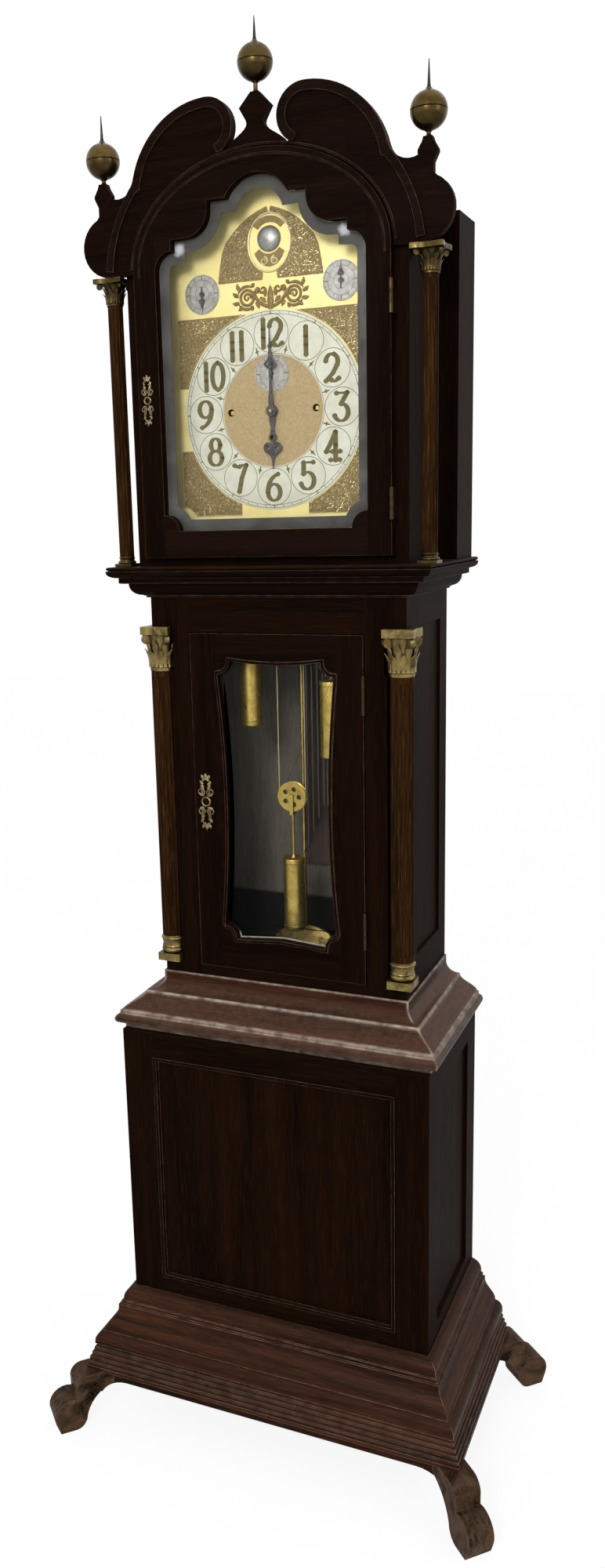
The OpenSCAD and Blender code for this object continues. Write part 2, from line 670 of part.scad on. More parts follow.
module hood_door_hinge_leaves() {
    color([0.7, 0.55, 0.3]) for (z = hood_hinge_zs)
        moving_leaf(hpin_x, hpin_d, hdoor_hw, hdoor_face - leaf_w, z, hood_hinge_h);
}

// Hood carcass, open behind so that it slides forward off the case

sill_z0 = throat_z1 + seat_gap;
sill_z1 = throat_z1 + 6;
sill_hw = trunk_hw + throat_out;
sill_d = trunk_d + throat_out - 2;
roof_spring_x = 190;
roof_crown_z = arch_z + arch_rise - 7;
roof_r = (pow(roof_spring_x, 2) + pow(roof_crown_z - hood_top_z, 2)) / (2 * (roof_crown_z - hood_top_z));
roof_c_z = roof_crown_z - roof_r;
roof_half_angle = asin(roof_spring_x / roof_r);
roof_t = 8;
head_lap = 4;
function roof_arch(inset) = arc([0, roof_c_z], roof_r - inset, 90 - roof_half_angle, 90 + roof_half_angle, 16);
module hood_frame() {
    color([0.13, 0.055, 0.03]) {
        // Sill with a rounded nose, open behind
        difference() {
            mitred(trunk_hw, trunk_d, concat([[sill_hw - trunk_hw - 3, sill_z1]],
                arc([sill_hw - trunk_hw - 3, sill_z1 - 2.5], 2.5, 80, -80, 5),
                [[sill_hw - trunk_hw - 3, sill_z0]]));
            slab(-hood_hw + hood_t, hood_hw - hood_t, -1, hood_d - hood_t - 3, sill_z0 - 1, sill_z1 + 1);
        }
        // Sides of the front box, and the wider rear part with its return boards
        pair() {
            slab(hood_hw - hood_t, hood_hw, hood_rear_d, hood_d - 18, sill_z1, hood_top_z - hood_t);
            slab(hood_rear_w / 2 - hood_t, hood_rear_w / 2, 0, hood_rear_d, sill_z1, hood_top_z - hood_t);
            slab(hood_hw - hood_t, hood_rear_w / 2 - hood_t, hood_rear_d - hood_t, hood_rear_d,
                 sill_z1, hood_top_z - hood_t);
        }
        // Front frame that the door closes on, arched at the top
        difference() {
            upright(hood_d, 18) {
                polygon(concat([[hood_hw, sill_z1], [hood_hw, hood_top_z], [roof_spring_x, hood_top_z]],
                    roof_arch(0), [[-roof_spring_x, hood_top_z], [-hood_hw, hood_top_z], [-hood_hw, sill_z1]]));
                // Head that laps behind the joint between the door and the crest board
                polygon(mirrored(oval([0, arch_z], hdoor_hw + head_lap, arch_rise + head_lap, 90, 0, 18)));
            }
            upright(hood_d + 1, 20) polygon(hood_opening(4));
            for (z = hood_hinge_zs)
                slab(hdoor_hw + door_gap, hdoor_hw + door_gap + leaf_t, hood_d - leaf_in, hood_d + 1,
                     z, z + hood_hinge_h);
        }
    }
}
module hood_roof() {
    color([0.13, 0.055, 0.03]) {
        upright(hood_d - 18, hood_d - 18) difference() {
            polygon(concat([[roof_spring_x, hood_top_z - hood_t]], roof_arch(0),
                [[-roof_spring_x, hood_top_z - hood_t]]));
            polygon(concat([[roof_spring_x - roof_t, hood_top_z - hood_t - 1]], roof_arch(roof_t),
                [[-roof_spring_x + roof_t, hood_top_z - hood_t - 1]]));
        }
        pair() {
            slab(roof_spring_x, hood_rear_w / 2, 0, hood_rear_d, hood_top_z - hood_t, hood_top_z);
            slab(roof_spring_x, hood_hw, hood_rear_d, hood_d - 18, hood_top_z - hood_t, hood_top_z);
        }
    }
}

// Crest board with two scrolls, a centre plinth and lobed ears

eye_r = 40;
eye_z = scroll_top_z - eye_r;
sweep_r = 124;
sweep_z = scroll_top_z - sweep_r;
valley_r = 30;
valley_z = sweep_z + 38;
valley_a = asin((valley_z - sweep_z) / (sweep_r + valley_r));
valley_x = scroll_x + (sweep_r + valley_r) * cos(valley_a);
ear_x = 242;
ear_z = 1958;
ear_r = 43;
crest_z0 = 1915;
crest_face = hood_d + crest_t;
vase_top_z = scroll_top_z - 2;
centre_valley_z = 2066;
side_neck = 7;
stem_top_z = side_ball_z - finial_dia / 2 - side_neck;
// Outline of the board, from the plinth in the middle over the scroll to the ear
module crest_outline() {
    polygon(mirrored(concat([[6, vase_top_z], [24, vase_top_z - 19], [14, vase_top_z - 36]],
        ogee([13, vase_top_z - 40], [45, centre_valley_z - 1], 9),
        arc([scroll_x, eye_z], eye_r, 232, 90, 16),
        arc([scroll_x, sweep_z], sweep_r, 88, valley_a, 14),
        arc([valley_x, valley_z], valley_r, 180 + valley_a, 296, 7),
        [[finial_x, stem_top_z - 34]],
        arc([ear_x, ear_z], ear_r, 66, -72, 12),
        [[ear_x, crest_z0]])));
}
// Block that carries a side finial
module stem_block() {
    translate([finial_x, stem_top_z])
        polygon(mirrored([[6, 0], [8, -6], [14, -16], [14, -20], [8, -32], [8, -46]]));
}
module crest_board() {
    color([0.15, 0.06, 0.035]) upright(crest_face, crest_t) difference() {
        union() {
            crest_outline();
            stem_block();
            mirror([1, 0]) stem_block();
        }
        polygon(door_outline(door_gap));
    }
}
rim_w = 13;
// Raised rim of one scroll, from the eye over the top and down the sweep
module rim_half() {
    polygon(concat(arc([scroll_x, eye_z], eye_r, 245, 90, 16),
        arc([scroll_x, sweep_z], sweep_r, 88, valley_a, 14),
        arc([valley_x, valley_z], valley_r, 180 + valley_a, 215, 4),
        bow([valley_x - 22, valley_z - 20], [ear_x + 4, crest_z0 + 8], 8, 6),
        bow([ear_x - 8, crest_z0 + 6], [valley_x - 32, valley_z - 26], -9, 6),
        arc([scroll_x, sweep_z], sweep_r - rim_w, valley_a - 6, 88, 14),
        arc([scroll_x, eye_z], eye_r - rim_w, 90, 245, 12)));
}
module crest_mouldings() {
    color([0.2, 0.07, 0.04]) {
        pair() upright(crest_face + rim_h, rim_h) difference() {
            rim_half();
            polygon(door_outline(door_gap + 6));
        }
        // Bead that follows the head of the door on the crest board
        upright(crest_face + 2, 2) difference() {
            polygon(door_outline(door_gap + 5));
            polygon(door_outline(door_gap + 2));
            translate([-sill_hw, hdoor_z0 - 20]) square([2 * sill_hw, crest_z0 + 27 - hdoor_z0]);
        }
    }
}

// Hood columns and their brasses

hcol_r = hood_col_dia / 2;
hood_col_d = hood_d - hood_col_in;
hbase_h = 15;
hcap_h = 38;
hcol_z1 = crest_z0;
module hood_columns() {
    color([0.25, 0.1, 0.06]) pair() translate([hood_col_x, fy(hood_col_d), sill_z1 + hbase_h])
        fluted_shaft(hcol_r, hcol_z1 - hcap_h - sill_z1 - hbase_h, 12, 1.9, 6);
}
module hood_column_brasses() {
    color([0.8, 0.68, 0.4]) pair() translate([hood_col_x, fy(hood_col_d), 0]) {
        translate([0, 0, sill_z1]) column_base(hcol_r, hbase_h, hcol_r + 3);
        translate([0, 0, hcol_z1 - hcap_h]) column_capital(hcol_r, hcap_h, hcol_r + 12);
    }
}

// Brass ball finials with a seam, a pointed neck and a steel spike

finial_d = hood_d + crest_t / 2;
finial_pin_r = 2.5;
// Ball at height z on a neck of given length, with a spike of given length
module finial(x, z, neck, spike) {
    br = finial_dia / 2;
    translate([x, fy(finial_d), z])
        rotate_extrude() polygon(concat([[0, -br - neck], [finial_pin_r + 2, -br - neck], [3.2, -br - neck + 3],
            [3, -br - 2]], arc([0, 0], br, -76, -2, 8), [[br - 0.8, 0]], arc([0, 0], br, 2, 76, 8),
            [[3, br + 3], [2.2, br + 6], [0.6, br + spike], [0, br + spike]]));
}
module finials() {
    color([0.75, 0.6, 0.3]) {
        finial(0, centre_ball_z, centre_ball_z - finial_dia / 2 - vase_top_z, 33);
        pair() finial(finial_x, side_ball_z, side_neck, 37);
    }
}

// Dial

seconds_z = dial_z + 53;
ring_t = 1.5;
selector_arbor_r = 2;
centre_hole_r = 5.2;
going_z = dial_z - going_drop;
arbor_r = 4;
winding_hole_r = 5.5;
module dial_plate() {
    color([0.85, 0.78, 0.5]) {
        difference() {
            upright(dial_d, dial_t) polygon(hood_opening(4));
            bar(0, dial_z, centre_hole_r, dial_d - 9, dial_d + 9);
            bar(0, seconds_z, 2.5, dial_d - 9, dial_d + 9);
            bar(0, going_z, winding_hole_r, dial_d - 9, dial_d + 9);
            for (s = [-1, 1]) {
                bar(s * side_train_x, dial_z + 1, winding_hole_r, dial_d - 9, dial_d + 9);
                bar(s * selector_x, selector_z, selector_arbor_r + run_gap, dial_d - 9, dial_d + 9);
            }
        }
        // Dial feet, riveted to the plate and pinned to the front movement plate
        for (s = [-1, 1]) for (z = [seat_top + 25, 1795])
            bar(s * (plate_x - 20), z, 3, plate_front_d, dial_d - dial_t);
    }
}
module ring(x, z, r, in_r, face_d, t) {
    difference() {
        bar(x, z, r, face_d - t, face_d);
        bar(x, z, in_r, face_d - t - 1, face_d + 1);
    }
}
module chapter_ring() {
    color([0.85, 0.85, 0.8]) ring(0, dial_z, chapter_r, chapter_in_r, dial_d + ring_t, ring_t);
}
module subsidiary_dials() {
    color([0.75, 0.76, 0.75]) {
        ring(0, seconds_z, seconds_r, 2.5, dial_d + 0.8, 0.8);
        for (s = [-1, 1])
            ring(s * selector_x, selector_z, selector_r, selector_arbor_r + run_gap, dial_d + ring_t, ring_t);
    }
}
casting_t = 3;
boss_z = dial_z + 232;
// Castings in the corners and the arch, outside the chapter ring
module dial_castings() {
    color([0.7, 0.55, 0.25]) {
        for (s = [-1, 1]) {
            upright(dial_d + casting_t, casting_t) difference() {
                translate([s > 0 ? 62 : -152, aper_z0 + 17]) square([90, 102]);
                translate([0, dial_z]) circle(r = chapter_r + 1, $fn = 96);
                translate([s * aper_x, aper_z0]) circle(r = sill_lobe_r + 15);
            }
            upright(dial_d + casting_t, casting_t) difference() {
                translate([s > 0 ? 82 : -152, dial_z + 40]) square([70, 100]);
                translate([0, dial_z]) circle(r = chapter_r + 1, $fn = 96);
                translate([s * selector_x, selector_z]) circle(r = selector_r + 2);
            }
        }
        // Fan-shaped casting in the arch, with an oval centre
        upright(dial_d + casting_t, casting_t) difference() {
            polygon(mirrored(concat([[0, boss_z + 50]], oval([0, boss_z - 42], 82, 84, 74, 12, 8),
                [[78, boss_z - 44], [0, boss_z - 50]])));
            translate([0, boss_z]) circle(r = 27);
        }
        upright(dial_d + casting_t, casting_t) translate([0, boss_z]) circle(r = 24);
        upright(dial_d + casting_t, casting_t)
            polygon(mirrored(concat([[0, boss_z - 56]], bow([30, boss_z - 55], [54, boss_z - 64], 3, 4),
                bow([52, boss_z - 74], [8, boss_z - 84], -3, 4), [[0, boss_z - 86]])));
    }
    color([0.75, 0.75, 0.75]) translate([0, fy(dial_d + casting_t), boss_z]) difference() {
        sphere(r = 15);
        translate([-20, 0, -20]) cube([40, 40, 40]);
    }
}

// Hands

hand_t = 1.2;
hour_d = dial_d + 5;
minute_d = dial_d + 9;
module hand_plate(x, z, face_d) {
    upright(face_d, hand_t) translate([x, z]) children();
}
hour_pipe_r = 4.6;
cannon_r = 3.2;
module hour_hand() {
    color([0.25, 0.26, 0.32]) difference() {
        hand_plate(0, dial_z, hour_d) mirror([0, 1]) difference() {
            union() {
                circle(r = 9);
                polygon(mirrored([[3.4, 0], [5, 14], [2.6, 24], [3.6, 32], [2, 40]]));
                translate([0, going_drop]) circle(r = 6.2);
                polygon(mirrored(concat([[2, 40]], arc([7, 53], 8, 230, 410, 8), [[4.5, 64], [1.6, 71], [0.4, hour_len]])));
            }
            translate([0, going_drop]) circle(r = 3.4);
            for (s = [-1, 1]) translate([s * 7, 53]) circle(r = 2.6);
        }
        bar(0, dial_z, hour_pipe_r, hour_d - 9, hour_d + 9);
    }
}
module minute_hand() {
    color([0.25, 0.26, 0.32]) {
        difference() {
            hand_plate(0, dial_z, minute_d) difference() {
                union() {
                    circle(r = 8);
                    polygon(mirrored([[2.6, 0], [3.8, 16], [2, 30], [1.6, 46], [2.4, 54]]));
                    polygon(mirrored(concat([[2.4, 54]], arc([4.2, 66], 5, 240, 420, 8),
                        [[2.4, 76], [1.4, 92], [0.4, minute_len]])));
                }
                for (s = [-1, 1]) translate([s * 4.2, 66]) circle(r = 1.7);
            }
            bar(0, dial_z, arbor_thin_r, minute_d - 9, minute_d + 9);
        }
        // Collet that holds the hand on the centre arbor
        ring(0, dial_z, 4.5, arbor_thin_r, minute_d + 2, 2);
    }
}
seconds_d = dial_d + 3;
module seconds_hand() {
    color([0.25, 0.26, 0.32]) difference() {
        hand_plate(0, seconds_z, seconds_d) union() {
            circle(r = 2.6);
            polygon(mirrored([[0.9, -9], [0.9, 6], [0.5, seconds_r + 4]]));
            polygon(mirrored([[1.1, 11], [6, 13.5], [1.1, 16]]));
        }
        bar(0, seconds_z, arbor_fine_r, seconds_d - 9, seconds_d + 9);
    }
}
// Small hand of a selector, with its arbor through the dial
module selector_hand(x, up) {
    face = dial_d + ring_t + 2;
    color([0.25, 0.26, 0.32]) {
        hand_plate(x, selector_z, face) mirror([0, up ? 0 : 1]) {
            circle(r = 4);
            polygon(mirrored(concat([[1, -11], [1, 3]], arc([2.4, 9], 2.6, 240, 400, 5), [[0.4, 20]])));
        }
        bar(x, selector_z, selector_arbor_r, dial_d - dial_t - 6, face);
    }
}
module chime_selector_hand() {
    selector_hand(-selector_x, false);
}
module strike_selector_hand() {
    selector_hand(selector_x, true);
}

// Movement: plates, pillars, cock and wheels

arbor_thin_r = 2;
arbor_fine_r = 1.2;
pivot_r = 1;
front_in = plate_front_d - plate_t;
back_in = front_in - plate_gap;
back_out = back_in - plate_t;
centre_teeth = 60;
centre_m = 0.9;
leaves = 8;
third_teeth = 56;
third_m = 0.8;
escape_leaves = 7;
escape_teeth = 30;
great_teeth = 96;
great_m = 2 * going_drop / (great_teeth + leaves);
third_dist = centre_m * (centre_teeth + leaves) / 2;
escape_dist = third_m * (third_teeth + escape_leaves) / 2;
escape_up = seconds_z - dial_z;
third_rise = (pow(escape_up, 2) + pow(third_dist, 2) - pow(escape_dist, 2)) / (2 * escape_up);
third_x = sqrt(pow(third_dist, 2) - pow(third_rise, 2));
third_z = dial_z + third_rise;
escape_r = 21;
pallet_z = seconds_z + escape_r * sqrt(2);
motion_teeth = 36;
motion_m = motion_dist / motion_teeth;
hour_teeth = 72;
hour_leaves = 6;
hour_m = 2 * motion_dist / (hour_teeth + hour_leaves);
minute_a = 210;
minute_x = motion_dist * cos(minute_a);
minute_z = dial_z + motion_dist * sin(minute_a);
stud_r = 1;
plate_top = pallet_z + 22;
chime_z = dial_z + 1;
pillar_points = [[-plate_x + 8, seat_top + 12], [plate_x - 8, seat_top + 12],
                 [-plate_x + 8, plate_top - 16], [plate_x - 8, plate_top - 16], [0, seat_top + 60]];

module movement_plate(front_face) {
    difference() {
        upright(front_face, plate_t)
            translate([-plate_x, seat_top]) square([2 * plate_x, plate_top - seat_top]);
        bar(0, dial_z, (front_face > back_in + 1 ? arbor_thin_r : pivot_r) + run_gap, back_out - 1, plate_front_d + 1);
        bar(third_x, third_z, pivot_r + run_gap, back_out - 1, plate_front_d + 1);
        bar(0, seconds_z, (front_face > back_in + 1 ? arbor_fine_r : pivot_r) + run_gap,
            back_out - 1, plate_front_d + 1);
        bar(0, pallet_z, front_face > back_in + 1 ? pivot_r + run_gap : 4, back_out - 1, plate_front_d + 1);
        bar(0, going_z, arbor_r + run_gap, back_out - 1, plate_front_d + 1);
        for (s = [-1, 1]) bar(s * side_train_x, chime_z, arbor_r + run_gap, back_out - 1, plate_front_d + 1);
    }
}
cock_t = 2;
cock_gap = 4;
cock_face = back_out - cock_gap;
chops_d = pendulum_d;
module movement_frame() {
    color([0.75, 0.62, 0.35]) {
        movement_plate(plate_front_d);
        movement_plate(back_in);
        for (p = pillar_points) bar(p[0], p[1], 5, back_in, front_in);
        // Stud of the minute wheel
        bar(minute_x, minute_z, stud_r, plate_front_d, plate_front_d + 12.5);
        // Back cock with the rear pivot of the anchor and the suspension chops
        difference() {
            union() {
                slab(-24, 24, cock_face - cock_t, cock_face, pallet_z - 8, pallet_z + 20);
                pair() slab(16, 24, cock_face, back_out, pallet_z + 6, pallet_z + 20);
                slab(-7, 7, chops_d - 4, cock_face - cock_t, pallet_z + 8, pallet_z + 20);
                slab(-5, 5, chops_d - 3, chops_d + 3, pallet_z + 0.5, pallet_z + 8);
            }
            bar(0, pallet_z, pivot_r + run_gap, cock_face - cock_t - 1, cock_face + 1);
        }
    }
}
// Toothed disc in X and Z: n teeth on pitch radius r, with half widths given as parts of the pitch
module toothed(n, r, tip, root, w_tip, w_root, phase) {
    polygon([for (i = [0:n - 1]) for (p = [[r - root, -w_root], [r + tip, -w_tip], [r + tip, w_tip], [r - root, w_root]])
        p[0] * [cos((i + p[1]) * 360 / n + phase), sin((i + p[1]) * 360 / n + phase)]]);
}
// Wheel with arms, its first tooth at angle phase
module wheel(n, m, arms, hub_r, bore_r, phase) {
    r = n * m / 2;
    rim = r - 1.25 * m - max(2, r * 0.1);
    difference() {
        union() {
            difference() {
                toothed(n, r, 0.95 * m, 1.25 * m, 0.09, 0.27, phase);
                circle(r = rim);
            }
            circle(r = hub_r);
            for (i = [0:arms - 1]) rotate(i * 360 / arms + phase) translate([0, -r * 0.04 - 0.6])
                square([rim + 0.6, r * 0.08 + 1.2]);
        }
        circle(r = bore_r);
    }
}
// Pinion with n slender leaves
module pinion(n, m, phase) {
    toothed(n, n * m / 2, 0.62 * m, 1.2 * m, 0.07, 0.15, phase);
}
centre_wheel_d = back_in + 5;
great_d = back_in + 16;
third_wheel_d = back_in + 11;
escape_wheel_d = back_in + 29;
minute_wheel_d = plate_front_d + 5;
hour_wheel_d = plate_front_d + 11;
third_a = atan2(third_rise, third_x);
escape_a = atan2(seconds_z - third_z, -third_x);
module centre_wheel() {
    color([0.8, 0.68, 0.4]) {
        bar(0, dial_z, pivot_r, back_out + seat_gap, back_in + seat_gap);
        bar(0, dial_z, arbor_thin_r, back_in + seat_gap, minute_d + 3);
        upright(centre_wheel_d, 2) translate([0, dial_z])
            wheel(centre_teeth, centre_m, 5, 5, 1, third_a + 180 / centre_teeth);
        upright(great_d + 3, 8) translate([0, dial_z]) pinion(leaves, great_m, -90);
        // Cannon pipe and its wheel, in front of the plate
        bar(0, dial_z, cannon_r, plate_front_d + seat_gap, hour_d + 2);
        upright(minute_wheel_d, 4) translate([0, dial_z])
            toothed(motion_teeth, motion_dist / 2, 0.9 * motion_m, 1.2 * motion_m, 0.1, 0.25, minute_a);
    }
}
module hour_wheel() {
    color([0.8, 0.68, 0.4]) {
        ring(0, dial_z, hour_pipe_r, cannon_r + run_gap, hour_d + 0.5, hour_d + 0.5 - hour_wheel_d + 3);
        upright(hour_wheel_d, 3) translate([0, dial_z])
            wheel(hour_teeth, hour_m, 4, 8, hour_pipe_r - 0.5, minute_a + 180 / hour_teeth);
    }
}
module minute_wheel() {
    color([0.8, 0.68, 0.4]) difference() {
        union() {
            upright(minute_wheel_d, 3) translate([minute_x, minute_z])
                toothed(motion_teeth, motion_dist / 2, 0.9 * motion_m, 1.2 * motion_m, 0.1, 0.25,
                        minute_a + 180 + 180 / motion_teeth);
            upright(minute_wheel_d + 7, 7) translate([minute_x, minute_z])
                pinion(hour_leaves, hour_m, minute_a + 180);
        }
        bar(minute_x, minute_z, stud_r + run_gap, plate_front_d - 1, minute_wheel_d + 8);
    }
}
module third_wheel() {
    color([0.8, 0.68, 0.4]) {
        bar(third_x, third_z, pivot_r, back_out + seat_gap, plate_front_d - seat_gap);
        bar(third_x, third_z, 1.6, back_in + seat_gap, front_in - seat_gap);
        upright(centre_wheel_d + 2, 6) translate([third_x, third_z]) pinion(leaves, centre_m, third_a + 180);
        upright(third_wheel_d, 2) translate([third_x, third_z])
            wheel(third_teeth, third_m, 5, 4, 1, escape_a + 180 / third_teeth);
    }
}
module escape_wheel() {
    color([0.8, 0.68, 0.4]) {
        bar(0, seconds_z, pivot_r, back_out + seat_gap, back_in + seat_gap);
        bar(0, seconds_z, arbor_fine_r, back_in + seat_gap, seconds_d + 0.5);
        upright(third_wheel_d + 2, 6) translate([0, seconds_z])
            pinion(escape_leaves, third_m, escape_a + 180);
        upright(escape_wheel_d, 2) translate([0, seconds_z]) {
            difference() {
                // Pointed teeth that all lean the same way
                polygon([for (i = [0:escape_teeth - 1])
                    for (p = [[escape_r - 3.4, -0.42], [escape_r, 0], [escape_r, 0.06], [escape_r - 3.4, 0.2]])
                    p[0] * [cos((i + p[1]) * 12 + 96), sin((i + p[1]) * 12 + 96)]]);
                circle(r = escape_r - 6);
            }
            circle(r = 3.5);
            for (i = [0:4]) rotate(i * 72) translate([0, -0.8]) square([escape_r - 5.5, 1.6]);
        }
    }
}
module great_wheel() {
    color([0.8, 0.68, 0.4]) upright(great_d, 3) translate([0, going_z])
        wheel(great_teeth, great_m, 6, 9, arbor_r + run_gap, 90 + 180 / great_teeth);
}
// Anchor with its pallets just clear of the escape wheel, its arbor and the crutch
pallet_gap = 1.3;
crutch_end = pallet_z - 108;
rod_r = 3;
module anchor() {
    color([0.5, 0.5, 0.52]) {
        bar(0, pallet_z, pivot_r, cock_face - cock_t + 0.2, plate_front_d - 0.3);
        bar(0, pallet_z, 1.8, cock_face + seat_gap, front_in - seat_gap);
        upright(escape_wheel_d + 0.5, 3) difference() {
            translate([0, pallet_z]) polygon(mirrored(concat([[0, 4]], arc([0, -3], 8, 60, 15, 4),
                [[15, -9], [18.6, -14.3], [14, -12.5], [8, -5.5], [0, -3.5]])));
            translate([0, seconds_z]) circle(r = escape_r + pallet_gap, $fn = 96);
        }
        // Crutch with a fork round the pendulum rod
        bar(0, pallet_z, 3.5, back_out - 3.2, back_out - 0.5);
        slab(-1.2, 1.2, back_out - 3, back_out - 1, crutch_end, pallet_z - 2);
        pair() slab(rod_r + seat_gap, rod_r + seat_gap + 2, pendulum_d - 3, back_out - 1, crutch_end - 2, crutch_end + 2);
        slab(-rod_r - seat_gap - 2, rod_r + seat_gap + 2, back_out - 3, back_out - 1, crutch_end - 2, crutch_end + 2);
    }
}
bob_z = pallet_z - pendulum_len;
rod_end = bob_z - bob_r - 30;
bob_rim = 5;
bob_bulge = (bob_t - bob_rim) / 2;
bob_curve_r = (pow(bob_r, 2) + pow(bob_bulge, 2)) / (2 * bob_bulge);
bob_a = asin(bob_r / bob_curve_r);
module pendulum() {
    color([0.8, 0.68, 0.4]) {
        // Suspension spring and its lower block
        slab(-4, 4, pendulum_d - 0.25, pendulum_d + 0.25, pallet_z - 18, pallet_z + 0.1);
        slab(-6, 6, pendulum_d - 3.2, pendulum_d + 3.2, pallet_z - 26, pallet_z - 16);
        translate([0, fy(pendulum_d), rod_end]) cylinder(r = rod_r, h = pallet_z - 20 - rod_end, $fn = 32);
        // Lens-shaped bob with a flat rim
        translate([0, fy(pendulum_d), bob_z]) rotate([90, 0, 0]) rotate_extrude($fn = 96)
            polygon(concat(arc([0, bob_curve_r - bob_t / 2], bob_curve_r, 270, 270 + bob_a, 8),
                arc([0, bob_t / 2 - bob_curve_r], bob_curve_r, 90 - bob_a, 90, 8)));
        // Rating nut under the bob
        translate([0, fy(pendulum_d), bob_z - bob_r - 13]) cylinder(r = 9, h = 12);
    }
}

// Barrels, cables, pulleys and weights

drum_d0 = great_d + 1;
drum_d1 = front_in - 1;
fall_r = drum_r + 0.8;
groove_r = cable_r + seat_gap;
winding_d = plate_front_d + 4;
module barrel(x, z, with_wheel) {
    color([0.8, 0.68, 0.4]) {
        bar(x, z, arbor_r, back_out + seat_gap, winding_d);
        // Winding square
        translate([x, fy(winding_d), z]) rotate([90, 0, 0]) rotate([0, 0, 45])
            cylinder(r = arbor_r - 0.3, h = dial_d - dial_t - 2 - winding_d, $fn = 4);
        difference() {
            bar(x, z, drum_r, drum_d0, drum_d1);
            // Grooves that the cable winds in
            for (k = [-3:3]) translate([x, fy(weight_d + 3.5 * k), z]) rotate([90, 0, 0])
                rotate_extrude() translate([fall_r, 0]) circle(r = groove_r, $fn = 16);
        }
        for (d = [drum_d0, drum_d1 - 1.5]) bar(x, z, drum_r + 3, d, d + 1.5);
        if (with_wheel)
            upright(great_d, 3) translate([x, z]) wheel(great_teeth, great_m, 6, 9, arbor_r - 1, 0);
    }
}
module going_barrel() {
    barrel(0, going_z, false);
}
module strike_barrel() {
    barrel(-side_train_x, chime_z, true);
}
module chime_barrel() {
    barrel(side_train_x, chime_z, true);
}
// Half ring of cable about (x, z), the upper half if side is 0 and the lower if it is 1
module cable_bend(x, z, side) {
    translate([x, fy(weight_d), z]) mirror([0, 0, side]) difference() {
        rotate([90, 0, 0]) rotate_extrude() translate([fall_r, 0]) circle(r = cable_r, $fn = 16);
        translate([-2 * fall_r, -2 * cable_r, -2 * fall_r]) cube([4 * fall_r, 4 * cable_r, 2 * fall_r]);
    }
}
// Cable from over the drum, down and round under the pulley, and up to the seatboard
module cable(x, drum_z, pulley_z) {
    color([0.5, 0.45, 0.35]) {
        cable_bend(x, drum_z, 0);
        translate([x - fall_r, fy(weight_d), pulley_z]) cylinder(r = cable_r, h = drum_z - pulley_z, $fn = 16);
        cable_bend(x, pulley_z, 1);
        translate([x + fall_r, fy(weight_d), pulley_z])
            cylinder(r = cable_r, h = seat_top + 2 - pulley_z, $fn = 16);
        // Button that holds the fixed end above the seatboard
        translate([x + fall_r, fy(weight_d), seat_top + seat_gap]) cylinder(r = 4, h = 5, $fn = 24);
    }
}
module going_cable() {
    cable(0, going_z, centre_weight_z + pulley_up);
}
module strike_cable() {
    cable(-side_train_x, chime_z, left_weight_z + pulley_up);
}
module chime_cable() {
    cable(side_train_x, chime_z, right_weight_z + pulley_up);
}
pulley_pin_r = 2;
pulley_w = 9;
pulley_r = pulley_dia / 2;
module pulley(x, z) {
    color([0.8, 0.68, 0.4]) difference() {
        bar(x, z, pulley_r, weight_d - pulley_w / 2, weight_d + pulley_w / 2);
        translate([x, fy(weight_d), z]) rotate([90, 0, 0]) rotate_extrude() {
            translate([fall_r, 0]) circle(r = groove_r, $fn = 16);
            polygon([[fall_r, -groove_r], [pulley_r + 1, -3], [pulley_r + 1, 3], [fall_r, groove_r]]);
        }
        bar(x, z, pulley_pin_r + run_gap, weight_d - pulley_w, weight_d + pulley_w);
        // Light holes in the web
        for (a = [0:72:288]) bar(x + 13 * cos(a), z + 13 * sin(a), 4, weight_d - pulley_w, weight_d + pulley_w);
    }
}
module going_pulley() {
    pulley(0, centre_weight_z + pulley_up);
}
module strike_pulley() {
    pulley(-side_train_x, left_weight_z + pulley_up);
}
module chime_pulley() {
    pulley(side_train_x, right_weight_z + pulley_up);
}
cheek_t = 2.5;
// Weight shell with end caps, and the stirrup whose pin carries the pulley
module weight(x, z0) {
    wr = weight_dia / 2;
    pz = z0 + pulley_up;
    stirrup_z = pz - pulley_r - 4;
    color([0.85, 0.72, 0.4]) {
        translate([x, fy(weight_d), z0]) {
            rotate_extrude() polygon(concat([[0, 0]], arc([wr - 3, 3], 3, -90, 0, 4),
                [[wr, 8], [wr - 0.8, 9], [wr - 0.8, weight_h - 9], [wr, weight_h - 8]],
                arc([wr - 3, weight_h - 3], 3, 0, 90, 4), [[0, weight_h]]));
            cylinder(r = 2, h = stirrup_z - z0);
            translate([0, 0, weight_h]) cylinder(r1 = 6, r2 = 3, h = 5);
        }
        // Stirrup
        bar(x, pz, pulley_pin_r, weight_d - pulley_w / 2 - seat_gap - cheek_t,
            weight_d + pulley_w / 2 + seat_gap + cheek_t);
        for (s = [0, 1]) translate([0, 2 * s * fy(weight_d), 0]) mirror([0, s, 0])
            slab(x - 3, x + 3, weight_d + pulley_w / 2 + seat_gap, weight_d + pulley_w / 2 + seat_gap + cheek_t,
                 stirrup_z, pz + 4);
        slab(x - 3, x + 3, weight_d - pulley_w / 2 - seat_gap - cheek_t,
             weight_d + pulley_w / 2 + seat_gap + cheek_t, stirrup_z - 1.5, stirrup_z + 1.5);
    }
}
module going_weight() {
    weight(0, centre_weight_z);
}
module strike_weight() {
    weight(-side_train_x, left_weight_z);
}
module chime_weight() {
    weight(side_train_x, right_weight_z);
}

// Chime rods on the backboard

